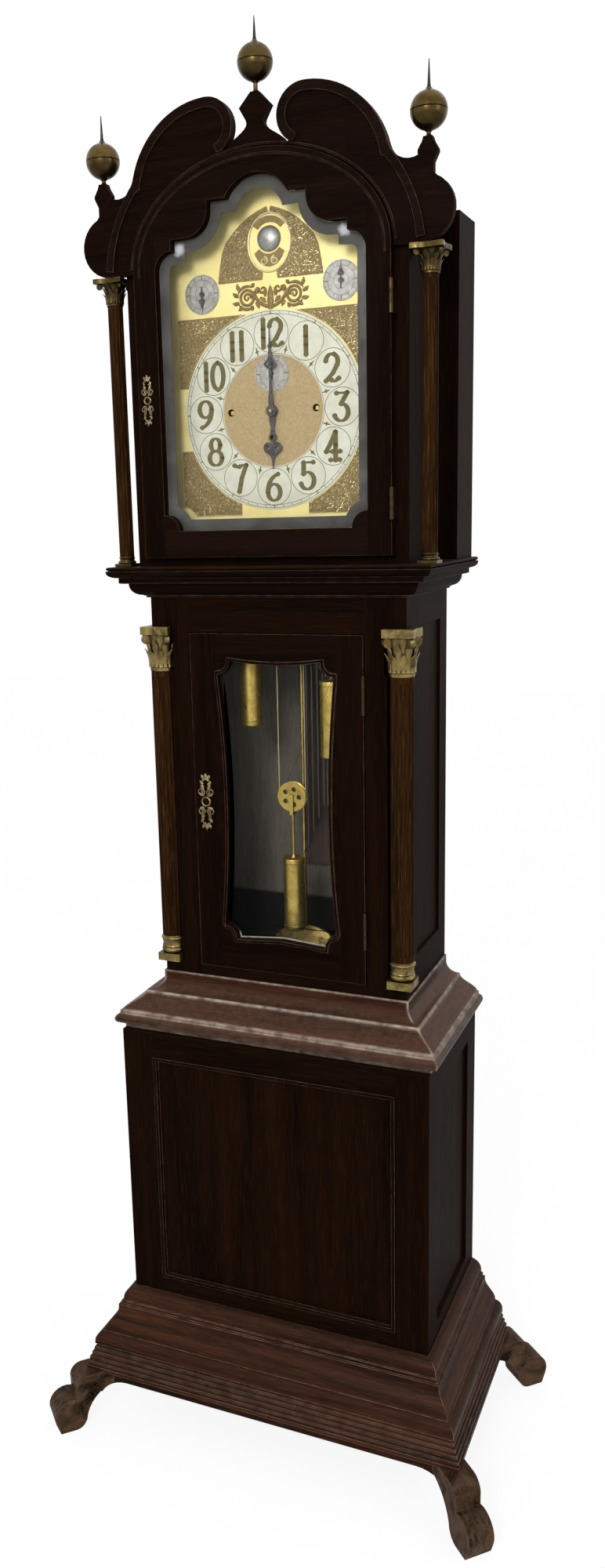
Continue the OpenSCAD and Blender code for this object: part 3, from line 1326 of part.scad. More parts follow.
rod_count = 5;
rod_board_z0 = 960;
rod_board_z1 = 1390;
rod_block_z = rod_board_z1 - 50;
longest_rod = rod_block_z - rod_board_z0 - 40;
module chime_rods() {
    color([0.4, 0.3, 0.22]) {
        slab(-34, 34, board_t, board_t + 8, rod_board_z0, rod_board_z1);
        slab(-28, 28, board_t + 8, board_t + 38, rod_block_z, rod_block_z + 26);
        for (k = [0:rod_count - 1]) translate([-20 + 10 * k, fy(board_t + 24), rod_block_z - longest_rod + 24 * k])
            cylinder(r = 2, h = longest_rod - 24 * k, $fn = 24);
    }
}

feet();
plinth_moulding();
base_floor();
base_frame();
case_panels();
base_cap_moulding();
trunk_frame();
trunk_columns();
trunk_column_brasses();
throat_moulding();
backboard();
seatboard();
trunk_hinge_leaves();
trunk_door_frame();
trunk_door_glass();
trunk_escutcheon();
trunk_door_hinge_leaves();
hood_frame();
hood_roof();
crest_board();
crest_mouldings();
hood_columns();
hood_column_brasses();
finials();
hood_hinge_leaves();
hood_door_frame();
hood_door_glass();
hood_escutcheon();
hood_door_hinge_leaves();
dial_plate();
chapter_ring();
subsidiary_dials();
dial_castings();
hour_hand();
minute_hand();
seconds_hand();
chime_selector_hand();
strike_selector_hand();
movement_frame();
centre_wheel();
hour_wheel();
minute_wheel();
third_wheel();
escape_wheel();
great_wheel();
anchor();
pendulum();
going_barrel();
strike_barrel();
chime_barrel();
going_cable();
strike_cable();
chime_cable();
going_pulley();
strike_pulley();
chime_pulley();
going_weight();
strike_weight();
chime_weight();
chime_rods();
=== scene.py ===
import random
from math import acos, asin, atan2, cos, degrees, hypot, pi, radians, sin, sqrt

import bmesh
import bpy
from mathutils import Matrix, Vector


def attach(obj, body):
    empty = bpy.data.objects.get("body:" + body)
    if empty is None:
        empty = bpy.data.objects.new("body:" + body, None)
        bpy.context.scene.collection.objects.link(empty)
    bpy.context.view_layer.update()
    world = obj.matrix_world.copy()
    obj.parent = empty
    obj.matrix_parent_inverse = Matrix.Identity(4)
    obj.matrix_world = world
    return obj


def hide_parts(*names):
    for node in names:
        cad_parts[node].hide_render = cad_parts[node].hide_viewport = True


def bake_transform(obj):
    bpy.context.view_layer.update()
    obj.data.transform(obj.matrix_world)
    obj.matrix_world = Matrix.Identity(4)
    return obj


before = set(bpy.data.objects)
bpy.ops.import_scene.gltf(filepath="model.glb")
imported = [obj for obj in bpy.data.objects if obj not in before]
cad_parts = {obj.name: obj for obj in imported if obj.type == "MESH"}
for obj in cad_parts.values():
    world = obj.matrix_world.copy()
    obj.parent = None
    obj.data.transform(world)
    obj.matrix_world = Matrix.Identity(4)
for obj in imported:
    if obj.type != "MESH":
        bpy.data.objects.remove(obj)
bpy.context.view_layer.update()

# View, light and floor
# The camera stands in front of the clock and to its right, a little below the dial. Two large soft
# lamps and a pale room light it evenly, and the floor is a plain pale sheet.
scene = bpy.context.scene
scene.view_settings.view_transform = "Standard"


def put(name, data):
    """An object that stands in the scene."""
    made = bpy.data.objects.new(name, data)
    scene.collection.objects.link(made)
    return made


camera_place = Vector((0.73884, -1.81626, 1.56246))
camera_yaw, camera_pitch, camera_roll = 0.417, -0.215, -0.028
ahead = Vector((-sin(camera_yaw) * cos(camera_pitch), cos(camera_yaw) * cos(camera_pitch),
                sin(camera_pitch)))
level = Vector((cos(camera_yaw), sin(camera_yaw), 0))
over = level.cross(ahead)
rolled_level = cos(camera_roll) * level + sin(camera_roll) * over
rolled_over = cos(camera_roll) * over - sin(camera_roll) * level
turned = Matrix((rolled_level, rolled_over, -ahead)).transposed().to_4x4()
camera = put("camera", bpy.data.cameras.new("camera"))
camera.matrix_world = Matrix.Translation(camera_place) @ turned
camera.data.lens = 28.604
camera.data.shift_x = 0.0327
camera.data.shift_y = 0.0016
scene.camera = camera


def tint(red, green, blue):
    """A colour of a finish, from its shares of red, green and blue out of 255 on a screen."""
    def linear(share):
        share /= 255
        return share / 12.92 if share < 0.04 else ((share + 0.055) / 1.055) ** 2.4
    return (linear(red), linear(green), linear(blue), 1)


def fill(tree, node, inputs):
    """Gives a node its inputs. Each is a value, or a socket that it's joined to."""
    for name, value in inputs.items():
        if isinstance(value, bpy.types.NodeSocket):
            tree.links.new(value, node.inputs[name])
        else:
            node.inputs[name].default_value = value
    return node


def add(tree, kind, inputs=None, **settings):
    made = tree.nodes.new("ShaderNode" + kind)
    for name, value in settings.items():
        setattr(made, name, value)
    return fill(tree, made, inputs or {})


def maths(tree, operation, *values):
    return add(tree, "Math", dict(enumerate(values)), operation=operation).outputs[0]


def soft_lamp(name, place, aim, size, power):
    data = bpy.data.lights.new(name, "AREA")
    data.shape = "RECTANGLE"
    data.size, data.size_y = size
    data.energy = power
    lamp = put(name, data)
    lamp.location = place
    lamp.rotation_euler = (Vector(aim) - Vector(place)).to_track_quat("-Z", "Y").to_euler()


soft_lamp("front_lamp", place=(0.3, -3.3, 2.7), aim=(0, 0, 1.3), size=(0.9, 1.0), power=48)
soft_lamp("side_lamp", place=(2.9, -0.9, 2.4), aim=(0, 0, 1.2), size=(1.0, 1.4), power=9)

white = (1, 1, 1, 1)
world = bpy.data.worlds.new("pale_room")
world.use_nodes = True
air = world.node_tree
air.nodes.clear()
rays = add(air, "LightPath")
seen_or_mirrored = maths(air, "MAXIMUM", rays.outputs["Is Camera Ray"], rays.outputs["Is Glossy Ray"])
seen_at_all = maths(air, "MAXIMUM", seen_or_mirrored, rays.outputs["Is Transmission Ray"])
room = add(air, "Background", {"Color": white, "Strength": 0.6})
backdrop = add(air, "Background", {"Color": white, "Strength": 1.0})
both = add(air, "MixShader", {0: seen_at_all, 1: room.outputs[0], 2: backdrop.outputs[0]})
add(air, "OutputWorld", {"Surface": both.outputs[0]})
scene.world = world


def new_finish(name):
    """An empty material and its node tree."""
    finish = bpy.data.materials.new(name)
    finish.use_nodes = True
    finish.node_tree.nodes.clear()
    return finish, finish.node_tree


def spot_on(tree, what="Object"):
    """Where a point of the surface lies in the clock's own frame, or with Normal which way it faces."""
    return add(tree, "TexCoord").outputs[what]


def axis_of(tree, axis, what="Object"):
    return add(tree, "SeparateXYZ", {0: spot_on(tree, what)}).outputs[axis]


def blend(tree, share, first, second):
    return add(tree, "Mix", {0: share, 6: first, 7: second}, data_type="RGBA").outputs[2]


def part_of(tree, value, low, high, to_low=0.0, to_high=1.0):
    return add(tree, "MapRange", {"Value": value, "From Min": low, "From Max": high, "To Min": to_low,
                                  "To Max": to_high}).outputs[0]


def noise(tree, scale, detail=3.0, roughness=0.55, distortion=0.0, along=None):
    vector = spot_on(tree) if along is None else along
    return add(tree, "TexNoise", {"Vector": vector, "Scale": scale, "Detail": detail,
                                  "Roughness": roughness, "Distortion": distortion}).outputs[0]


floor_finish, tree = new_finish("pale_floor")
speckle = noise(tree, 40)
shader = add(tree, "BsdfPrincipled", {
    "Base Color": blend(tree, speckle, tint(246, 246, 246), tint(250, 250, 250)),
    "Roughness": 0.8, "Specular IOR Level": 0.1})
# Seen directly it is nearly as white as the room, and keeps the clock's shadow
glow = add(tree, "Emission", {"Color": white, "Strength": 1.09})
share = maths(tree, "MULTIPLY", add(tree, "LightPath").outputs["Is Camera Ray"], 0.8)
seen_floor = add(tree, "MixShader", {0: share, 1: shader.outputs[0], 2: glow.outputs[0]})
add(tree, "OutputMaterial", {"Surface": seen_floor.outputs[0]})
floor_half = 9
floor_data = bpy.data.meshes.new("floor")
floor_data.from_pydata([(-floor_half, -floor_half, 0), (floor_half, -floor_half, 0),
                        (floor_half, floor_half, 0), (-floor_half, floor_half, 0)], [], [(0, 1, 2, 3)])
floor_data.materials.append(floor_finish)
floor = put("floor", floor_data)

# Feet, plinth moulding and base
# Dark polished mahogany. The feet are sawn from thick stock and reeded over the toe, the plinth is run
# in long lengths and mitred at the corners, and the base box is framed up round sunk panels.


def new_group(name, inputs, outputs):
    """A node group with named inputs and outputs, what it is given and the node of its results."""
    group = bpy.data.node_groups.new(name, "ShaderNodeTree")
    for label, kind, value in inputs:
        socket = group.interface.new_socket(label, in_out="INPUT", socket_type="NodeSocket" + kind)
        socket.default_value = value
    for label, kind in outputs:
        group.interface.new_socket(label, in_out="OUTPUT", socket_type="NodeSocket" + kind)
    return group, group.nodes.new("NodeGroupInput").outputs, group.nodes.new("NodeGroupOutput")


def place_group(tree, group, values):
    made = tree.nodes.new("ShaderNodeGroup")
    made.node_tree = group
    return fill(tree, made, values).outputs


# Long streaks that follow the board, a broad figure across it and short open pores
black = (0, 0, 0, 1)
pore_colour = (0.004, 0.002, 0.0015, 1)
drawn_out = 0.05
grain, given, result = new_group(
    "wood_grain",
    [("Dark", "Color", black), ("Mid", "Color", black), ("Light", "Color", black),
     ("Rail Reach", "Float", 0.0), ("Mitred", "Float", 0.0), ("Figure", "Float", 1.0)],
    [("Color", "Color"), ("Roughness", "Float"), ("Height", "Float")])
stretches = {"x": (drawn_out, 1, 1), "y": (1, drawn_out, 1), "z": (1, 1, drawn_out)}
along = {axis: add(grain, "VectorMath", {0: spot_on(grain), 1: stretch},
                   operation="MULTIPLY").outputs[0] for axis, stretch in stretches.items()}
on_side = maths(grain, "GREATER_THAN",
                *[maths(grain, "ABSOLUTE", axis_of(grain, axis, "Normal")) for axis in "XY"])
from_middle = maths(grain, "ABSOLUTE", axis_of(grain, "X"))
on_rail = maths(grain, "LESS_THAN", from_middle, given["Rail Reach"])


def either(share, first, second):
    return add(grain, "Mix", {0: share, 4: first, 5: second}, data_type="VECTOR").outputs[1]


run = either(given["Mitred"], either(on_rail, along["z"], along["x"]),
             either(on_side, along["x"], along["y"]))
streaks = noise(grain, 430, 4, 0.6, along=run)
figure = noise(grain, 30, 3, 0.5, 0.8, along=run)
pores = part_of(grain, noise(grain, 1100, 1, along=run), 0.6, 0.72)
body_colour = blend(grain, part_of(grain, figure, 0.32, 0.66), given["Dark"], given["Mid"])
lit_share = maths(grain, "MULTIPLY", part_of(grain, streaks, 0.5, 0.85), given["Figure"])
streaked = blend(grain, lit_share, body_colour, given["Light"])
fill(grain, result, {
    "Color": blend(grain, part_of(grain, pores, 0, 1, 0, 0.55), streaked, pore_colour),
    "Roughness": part_of(grain, streaks, 0.3, 0.8, 0.4, 0.58),
    "Height": maths(grain, "SUBTRACT", streaks, pores)})

# Edges that hands and dusters have rubbed round and pale, and pale edges painted on as highlights along the
# arrises
worn_and_lit_edges, given, result = new_group("edge_wear_and_highlight", [("Radius", "Float", 0.001), ("Amount", "Float", 0.5)],
                                [("Mask", "Float"), ("Normal", "Vector")])
rounded = add(worn_and_lit_edges, "Bevel", {"Radius": given["Radius"]}, samples=4).outputs[0]
true_normal = add(worn_and_lit_edges, "NewGeometry").outputs["Normal"]
agree = add(worn_and_lit_edges, "VectorMath", {0: rounded, 1: true_normal}, operation="DOT_PRODUCT").outputs["Value"]
rubbed_and_lit = part_of(worn_and_lit_edges, noise(worn_and_lit_edges, 60), 0.35, 0.65, 0.3, 1)
edge = maths(worn_and_lit_edges, "MULTIPLY", part_of(worn_and_lit_edges, agree, 0.995, 0.92), rubbed_and_lit)
fill(worn_and_lit_edges, result, {"Mask": maths(worn_and_lit_edges, "MULTIPLY", edge, given["Amount"]), "Normal": rounded})

# Fine dust that has settled where a surface looks upwards; on the mahogany the same mask also paints light
# on the upward faces
dust_and_top_light, given, result = new_group("settled_dust_and_top_light", [("Amount", "Float", 0.5)], [("Mask", "Float")])
up = part_of(dust_and_top_light, axis_of(dust_and_top_light, "Z", "Normal"), 0.15, 0.95)
patch = part_of(dust_and_top_light, noise(dust_and_top_light, 90, 5, 0.7), 0.3, 0.7, 0.35, 1)
fill(dust_and_top_light, result, {"Mask": maths(dust_and_top_light, "MULTIPLY", maths(dust_and_top_light, "MULTIPLY", up, patch),
                                  given["Amount"])})


def bumped(tree, height, strength, distance=0.0003, **more):
    """The normals of a surface with fine relief on it."""
    made = add(tree, "Bump", {"Height": height, "Strength": strength, "Distance": distance, **more})
    return made.outputs[0]


def coat(tree, colour, roughness, metal=0.0, gloss=0.5, **more):
    """The shader of a finish, joined to its output."""
    shader = add(tree, "BsdfPrincipled", {"Base Color": colour, "Roughness": roughness, "Metallic": metal,
                                          "Specular IOR Level": gloss, **more})
    add(tree, "OutputMaterial", {"Surface": shader.outputs[0]})


polish_dark = tint(13, 6, 3)


# Mahogany's pale edges are partly wear and partly painted highlight, and its upward faces partly dust and
# partly painted top light
def mahogany(name, mid, light, dark=polish_dark, rail_reach=0.0, mitred=0.0, figure=0.5, wear_and_highlight=0.5,
             dust_and_lit_amount=0.25, edge_radius=0.0008, rub_and_highlight=tint(82, 52, 36), lit_top_and_dust=tint(74, 56, 44), gloss=0.012,
             polish=0.0):
    """Polished mahogany, with its grain upright, along the rails or round a mitred moulding."""
    finish, tree = new_finish(name + "_mahogany")
    wood = place_group(tree, grain, {"Dark": dark, "Mid": mid, "Light": light, "Rail Reach": rail_reach,
                                     "Mitred": mitred, "Figure": figure})
    edges = place_group(tree, worn_and_lit_edges, {"Radius": edge_radius, "Amount": wear_and_highlight})
    settled_and_lit = place_group(tree, dust_and_top_light, {"Amount": dust_and_lit_amount})
    rubbed_and_lit = blend(tree, edges["Mask"], wood["Color"], rub_and_highlight)
    coat(tree, blend(tree, settled_and_lit["Mask"], rubbed_and_lit, lit_top_and_dust),
         maths(tree, "SUBTRACT", wood["Roughness"], polish), gloss=gloss,
         Normal=bumped(tree, wood["Height"], 0.25, Normal=edges["Normal"]))
    return finish


def dress(finish, *nodes):
    """Gives carried-over nodes their finish, with their flats kept crisp and their rounds smooth."""
    for node in nodes:
        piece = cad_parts[node]
        if not piece.material_slots:
            piece.data.materials.append(finish)
        for held in piece.material_slots:
            held.material = finish
        piece.data.shade_smooth()
        piece.modifiers.new("joined_faces", "WELD").merge_threshold = 0.00001
        piece.modifiers.new("crisp_edges", "EDGE_SPLIT").split_angle = radians(28)


carcass_mid = tint(26, 12, 5)
carcass_light = tint(50, 29, 15)
moulding_mid = tint(70, 39, 26)
moulding_light = tint(112, 70, 46)
base_rail_reach = 0.2105
# The pale edges of the plinth and feet are partly wear and partly painted highlight
plinth_wood = mahogany("plinth", moulding_mid, moulding_light, mitred=1.0, wear_and_highlight=0.9, dust_and_lit_amount=0.3,
                       edge_radius=0.0018, rub_and_highlight=tint(168, 136, 118), gloss=0.05, polish=0.2)
foot_wood = mahogany("foot", tint(92, 70, 52), tint(138, 108, 80), mitred=1.0, wear_and_highlight=0.9,
                     dust_and_lit_amount=0.35, edge_radius=0.002, rub_and_highlight=tint(140, 118, 96), gloss=0.04, polish=0.1)
base_wood = mahogany("base", carcass_mid, carcass_light, rail_reach=base_rail_reach)
panel_wood = mahogany("panel", tint(30, 14, 6), tint(58, 33, 15), wear_and_highlight=0.9, edge_radius=0.0014,
                      rub_and_highlight=tint(124, 100, 84))
dress(foot_wood, "feet")
dress(plinth_wood, "plinth_moulding")
dress(base_wood, "base_frame")
dress(panel_wood, "case_panels")

# Floor of the base, backboard and seatboard
# Plain pine, sawn and planed, darkened by age and never polished. They are nailed and screwed
# inside the case.
pine_mid = tint(92, 66, 44)


def old_pine(name, mid, light, dark, recolour=None):
    """Dusty pine. A function given as the last argument changes the colour last."""
    finish, tree = new_finish(name)
    wood = place_group(tree, grain, {"Dark": dark, "Mid": mid, "Light": light, "Figure": 0.8})
    settled_and_lit = place_group(tree, dust_and_top_light, {"Amount": 0.6})
    colour = blend(tree, settled_and_lit["Mask"], wood["Color"], tint(128, 116, 104))
    coat(tree, recolour(tree, colour) if recolour else colour, 0.7, gloss=0.2,
         Normal=bumped(tree, wood["Height"], 0.4, 0.0005))
    return finish


pine = old_pine("old_pine", pine_mid, tint(128, 98, 68), tint(60, 42, 30))
dress(pine, "base_floor", "seatboard")

# The backboard is grey inside the trunk and nearly black below a set height, and its rear face is bare
dark_below_z, rear_face_y = 0.9, 0.177


def stained_front(tree, colour):
    high = part_of(tree, axis_of(tree, "Z"), dark_below_z - 0.003, dark_below_z + 0.003)
    behind = part_of(tree, axis_of(tree, "Y"), rear_face_y - 0.001, rear_face_y + 0.001)
    return blend(tree, behind, blend(tree, high, tint(16, 13, 10), colour), pine_mid)


backboard_pine = old_pine("backboard_dark_below", tint(124, 117, 104), tint(144, 136, 122),
                          tint(104, 98, 88), stained_front)
dress(backboard_pine, "backboard")

# Cap moulding, trunk and throat moulding
# The trunk is a plain box of mahogany boards between two run mouldings, with a moulding glued and
# mitred round three sides of each end.
trunk_rail_reach = 0.1445
# The cap moulding's near-white arrises are painted highlights, and its upward faces are lightened with
# painted top light as well as dust
moulding_wood = mahogany("moulding", moulding_mid, moulding_light, mitred=1.0, wear_and_highlight=1.0,
                         dust_and_lit_amount=0.5, edge_radius=0.006, rub_and_highlight=tint(226, 206, 188), lit_top_and_dust=tint(122, 92, 74),
                         gloss=0.06, polish=0.22)
throat_wood = mahogany("throat", tint(20, 9, 6), tint(38, 22, 16), mitred=1.0, wear_and_highlight=0.6,
                       edge_radius=0.002, rub_and_highlight=tint(120, 98, 84))
trunk_wood = mahogany("trunk", carcass_mid, carcass_light, rail_reach=trunk_rail_reach)
dress(moulding_wood, "base_cap_moulding")
dress(trunk_wood, "trunk_frame")
dress(throat_wood, "throat_moulding")

# Fluted columns of the trunk and the hood
# Turned in reddish mahogany, fluted with a scratch stock, and held between their brass bases and
# capitals.
column_wood = mahogany("column", tint(50, 30, 13), tint(96, 66, 36), dark=tint(24, 13, 5),
                       figure=0.8, wear_and_highlight=0.7, edge_radius=0.0006)
dress(column_wood, "trunk_columns", "hood_columns")

# Brass bases and capitals
# Cast brass, chased and lacquered, now brown in the hollows and bright where it is rubbed. Two rows of
# leaves stand on each bell, under a hollow-sided abacus with a corner scroll at each horn.
patina, given, result = new_group(
    "brass_patina",
    [("Bright", "Color", white), ("Tarnish", "Color", (0.1, 0.1, 0.1, 1)), ("Dirt And Shade", "Color", black),
     ("Spread", "Float", 0.5), ("Depth", "Float", 0.003), ("Under Shade", "Float", 0.0)],
    [("Color", "Color"), ("Roughness", "Float"), ("Height", "Float")])
patches = noise(patina, 55, 5, 0.65, 0.4)
tarnished = maths(patina, "MULTIPLY", part_of(patina, patches, 0.35, 0.7), given["Spread"])
open_air = add(patina, "AmbientOcclusion", {"Distance": given["Depth"]}, samples=6).outputs["AO"]
hollow = part_of(patina, open_air, 0.85, 0.25)
mottled = blend(patina, tarnished, given["Bright"], given["Tarnish"])
grimed = blend(patina, hollow, mottled, given["Dirt And Shade"])
# Painted shade: faces that look down are darkened towards the dark colour, as if in shadow
facing_down = part_of(patina, axis_of(patina, "Z", "Normal"), 0.5, -1)
under_shade = maths(patina, "MULTIPLY", facing_down, given["Under Shade"])
fill(patina, result, {
    "Color": blend(patina, under_shade, grimed, given["Dirt And Shade"]),
    "Roughness": part_of(patina, maths(patina, "MAXIMUM", tarnished, hollow), 0, 1, 0.24, 0.6),
    "Height": noise(patina, 700, 2)})


# The last argument sets how much painted shade darkens the faces that look down
def brass(name, bright, tarnish, dirt_and_shade=tint(30, 22, 11), spread=0.6, depth=0.003, under_shade=0.3):
    finish, tree = new_finish(name + "_brass")
    old = place_group(tree, patina, {"Bright": bright, "Tarnish": tarnish, "Dirt And Shade": dirt_and_shade, "Spread": spread,
                                     "Depth": depth, "Under Shade": under_shade})
    coat(tree, old["Color"], old["Roughness"], metal=0.9, Normal=bumped(tree, old["Height"], 0.2))
    return finish


# The capitals' downward faces carry painted shade
capital_brass = brass("capital", tint(172, 150, 94), tint(62, 46, 20), depth=0.007, spread=0.95, under_shade=0.6)
hood_capital_brass = brass("hood_capital", tint(100, 84, 46), tint(48, 37, 19), depth=0.007,
                           spread=0.9, under_shade=0.6)
dress(capital_brass, "trunk_column_brasses")
dress(hood_capital_brass, "hood_column_brasses")
case_back_y = 0.18


def depth_y(depth):
    """The clock's Y, in metres, at a depth in millimetres forward of the back of the case."""
    return case_back_y - depth / 1000


def heading(line, i):
    """The direction of a line of points at its point i, as a step of length one."""
    before, after = line[max(i - 1, 0)], line[min(i + 1, len(line) - 1)]
    run_x, run_z = after[0] - before[0], after[1] - before[1]
    length = hypot(run_x, run_z) or 1
    return run_x / length, run_z / length


def skin_over(mesh, rings, capped=True):
    """Joins rings of like points into one skin, with a flat face at each end if it is capped."""
    count = len(rings[0])
    faces = [mesh.faces.new((near[k], near[(k + 1) % count], far[(k + 1) % count], far[k]))
             for near, far in zip(rings, rings[1:]) for k in range(count)]
    if capped:
        faces += [mesh.faces.new(list(reversed(rings[0]))), mesh.faces.new(rings[-1])]
    return faces


def relief(mesh, line, half_width, height, place, lift=0, sides=5):
    """A rounded bar along a line of (across, up) points, closed and flat behind, laid where place puts it.
    Half width, height and lift are each one number, or a list with a number for every point."""
    def at(size, i):
        return size[i] if isinstance(size, list) else size
    rings = []
    for i, (across, up) in enumerate(line):
        run_x, run_z = heading(line, i)
        ring = []
        for k in range(sides + 1):
            turn = pi * k / sides
            offset = at(half_width, i) * cos(turn)
            rise = at(height, i) * sin(turn) + at(lift, i)
            ring.append(mesh.verts.new(place(across - run_z * offset, up + run_x * offset, rise)))
        rings.append(ring)
    skin_over(mesh, rings)


def leaf(mesh, root, angle, length, width, height, place, bend=0.0, lobes=3, curl=0.0, rows=9):
    """A lobed leaf from its root, that bends sideways by bend degrees and curls off its ground by curl."""
    line, widths, rises, lifts = [], [], [], []
    across, up = root
    step = length / rows
    for i in range(rows + 1):
        t = i / rows
        line.append((across, up))
        turn = radians(angle + bend * t)
        across += step * cos(turn)
        up += step * sin(turn)
        scallop = 0.62 + 0.38 * abs(cos(pi * lobes * t))
        widths.append(max(width / 2 * sin(pi * min(t * 0.86 + 0.14, 1)) ** 0.6 * scallop, 0.12))
        rises.append(height * (0.55 + 0.45 * scallop) * (1 - 0.45 * t))
        lifts.append(curl * t ** 2.5)
    relief(mesh, line, widths, rises, place, lifts)


def new_piece(name, mesh, finish, smooth=True):
    """An object from a mesh in the making, with outward normals and crisp edges kept."""
    bmesh.ops.recalc_face_normals(mesh, faces=mesh.faces)
    data = bpy.data.meshes.new(name)
    mesh.to_mesh(data)
    mesh.free()
    data.materials.append(finish)
    piece = put(name, data)
    if smooth:
        data.shade_smooth()
        piece.modifiers.new("crisp_edges", "EDGE_SPLIT").split_angle = radians(40)
    return piece


def capital_leaves(name, body, finish, axis_x, axis_depth, foot_z, shaft_r, height, top_r):
    """Leaves and fleurons on a pair of capitals, each on its bell of the given size."""
    mesh = bmesh.new()
    round_shaft = 2 * pi * shaft_r
    leaves_in_tier = 8
    leaf_w = round_shaft / leaves_in_tier * 0.95
    for side in (-1, 1):
        def on_capital(turn, across, up, out):
            """A point out from the column's axis at a turn about it, and across the side it faces."""
            return Vector(((side * axis_x + out * sin(turn) + across * cos(turn)) / 1000,
                           depth_y(axis_depth + out * cos(turn) - across * sin(turn)),
                           (foot_z + up) / 1000))

        def on_bell(across, up, lift):
            rise = min(max((up - 0.2 * height) / (0.62 * height), 0), 1)
            bell_r = shaft_r + (0.92 * top_r - shaft_r) * (1 - sqrt(1 - rise * rise))
            return on_capital(across / shaft_r, 0, up, bell_r + lift)
        for tier, reach in ((0, 0.62), (1, 0.4)):
            for k in range(leaves_in_tier):
                root = (round_shaft * (k + tier / 2) / leaves_in_tier, 0.09 * height)
                leaf(mesh, root, 90, reach * height, leaf_w, 1.6 + 0.03 * height, on_bell, lobes=4,
                     curl=0.08 * height + 1.4 * tier)
        # Fleuron in the middle of each hollow side of the abacus
        for quarter in range(4):
            def on_abacus(across, up, lift):
                return on_capital(pi / 2 * quarter, across, up, top_r * 0.86 + lift)
            for petal in range(5):
                leaf(mesh, (0, 0.9 * height), 90 + 72 * petal, 0.09 * height, 0.07 * height, 1.2,
                     on_abacus, lobes=1, rows=4)
    piece = new_piece(name, mesh, finish)
    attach(piece, body)


capital_leaves("trunk_capital_leaves", "case", capital_brass, axis_x=201, axis_depth=216, foot_z=1321,
               shaft_r=18, height=71, top_r=24.5)
capital_leaves("hood_capital_leaves", "hood", hood_capital_brass, axis_x=247, axis_depth=232, foot_z=1877,
               shaft_r=11.5, height=38, top_r=23.5)

# Trunk door
# A flat mahogany frame, its stiles upright and its rails tenoned between them, with a thin bead round a
# bevelled glass. It hangs on two brass butts and has a pierced brass escutcheon.
trunk_door_rail_reach = 0.1
door_wood = mahogany("door", tint(24, 11, 6), tint(44, 25, 15), rail_reach=trunk_door_rail_reach,
                     wear_and_highlight=0.9, edge_radius=0.0016, rub_and_highlight=tint(124, 98, 82))
dress(door_wood, "trunk_door_frame")
hinge_brass = brass("hinge", tint(74, 56, 36), tint(44, 32, 20), spread=0.9)
dress(hinge_brass, "trunk_hinge_leaves", "trunk_door_hinge_leaves")

# Clear glass lets the light of the room fall on what stands behind it
clear_glass, tree = new_finish("clear_glass")
shader = add(tree, "BsdfPrincipled", {"Base Color": white, "Roughness": 0.0, "IOR": 1.1,
                                      "Transmission Weight": 1.0})
rays = add(tree, "LightPath")
passing = maths(tree, "MAXIMUM", rays.outputs["Is Shadow Ray"], rays.outputs["Is Diffuse Ray"])
clear = add(tree, "BsdfTransparent", {"Color": (0.96, 0.97, 0.97, 1)})
mixed = add(tree, "MixShader", {0: passing, 1: shader.outputs[0], 2: clear.outputs[0]})
add(tree, "OutputMaterial", {"Surface": mixed.outputs[0]})


def arc(centre, radius, start, end, steps, rise=None):
    """Points on a round or oval arc between two angles in degrees."""
    rise = radius if rise is None else rise
    turns = [radians(start + (end - start) * i / steps) for i in range(steps + 1)]
    return [(centre[0] + radius * cos(turn), centre[1] + rise * sin(turn)) for turn in turns]


def bow(start, end, sag, steps):
    """Points of a shallow curve from start to end, bowed by sag to its left."""
    run_x, run_z = end[0] - start[0], end[1] - start[1]
    length = hypot(run_x, run_z)
    points = []
    for i in range(steps + 1):
        t = i / steps
        push = 4 * sag * t * (1 - t) / length
        points.append((start[0] + run_x * t - run_z * push, start[1] + run_z * t + run_x * push))
    return points


def mirrored(half):
    return half + [(-x, z) for x, z in reversed(half)]


def trunk_opening(grow):
    """Outline of the trunk door's glazed opening, in millimetres, grown on every side."""
    top, bottom, step, dip = 1340, 881, 76, 6
    side_x, waist, side_top, side_bottom = 97, 11, 1312, 908
    top_lobe_r, low_lobe_x, low_lobe_r = 22, 20, 19
    return mirrored(
        bow((0, top - dip + grow), (step + grow, top + grow), -1.5, 4)
        + arc((step + top_lobe_r, top), top_lobe_r - grow, 180, 245, 5)
        + [(side_x + grow, side_top + grow + 6)]
        + bow((side_x + grow, side_top), (side_x + grow, side_bottom), -waist, 12)
        + arc((step + low_lobe_x, bottom + 3), low_lobe_r - grow, 85, 175, 6)
        + [(step + grow, bottom - grow), (0, bottom + dip - grow)])


def outline_rings(mesh, outlines):
    """Rings of like points, each from an outline and its depth."""
    return [[mesh.verts.new((x / 1000, depth_y(depth), z / 1000)) for x, z in outline]
            for outline, depth in outlines]


def bevelled_glass(name, body, node, outline, back, bevel_w):
    """A sheet of glass ground to a slope round its edge, in place of the plain sheet."""
    in_rebate = 5.6
    mesh = bmesh.new()
    skin_over(mesh, outline_rings(mesh, [
        (outline(in_rebate), back + 0.1), (outline(in_rebate), back + 1.8), (outline(0.2), back + 1.8),
        (outline(-bevel_w), back + 3.9)]))
    piece = new_piece(name, mesh, clear_glass, smooth=False)
    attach(piece, body)
    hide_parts(node)


def ground_band(name, body, outline, back, width, finish):
    """The ground slope of a bevelled glass, as a thin opaque band behind it whose finish paints how the
    slope catches the light.
    """
    mesh = bmesh.new()
    rings = outline_rings(mesh, [(outline(-0.3), back - 0.1), (outline(-0.3), back - 1.5),
                                 (outline(-width), back - 1.5), (outline(-width), back - 0.1)])
    skin_over(mesh, rings + rings[:1], capped=False)
    band = new_piece(name, mesh, finish, smooth=False)
    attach(band, body)


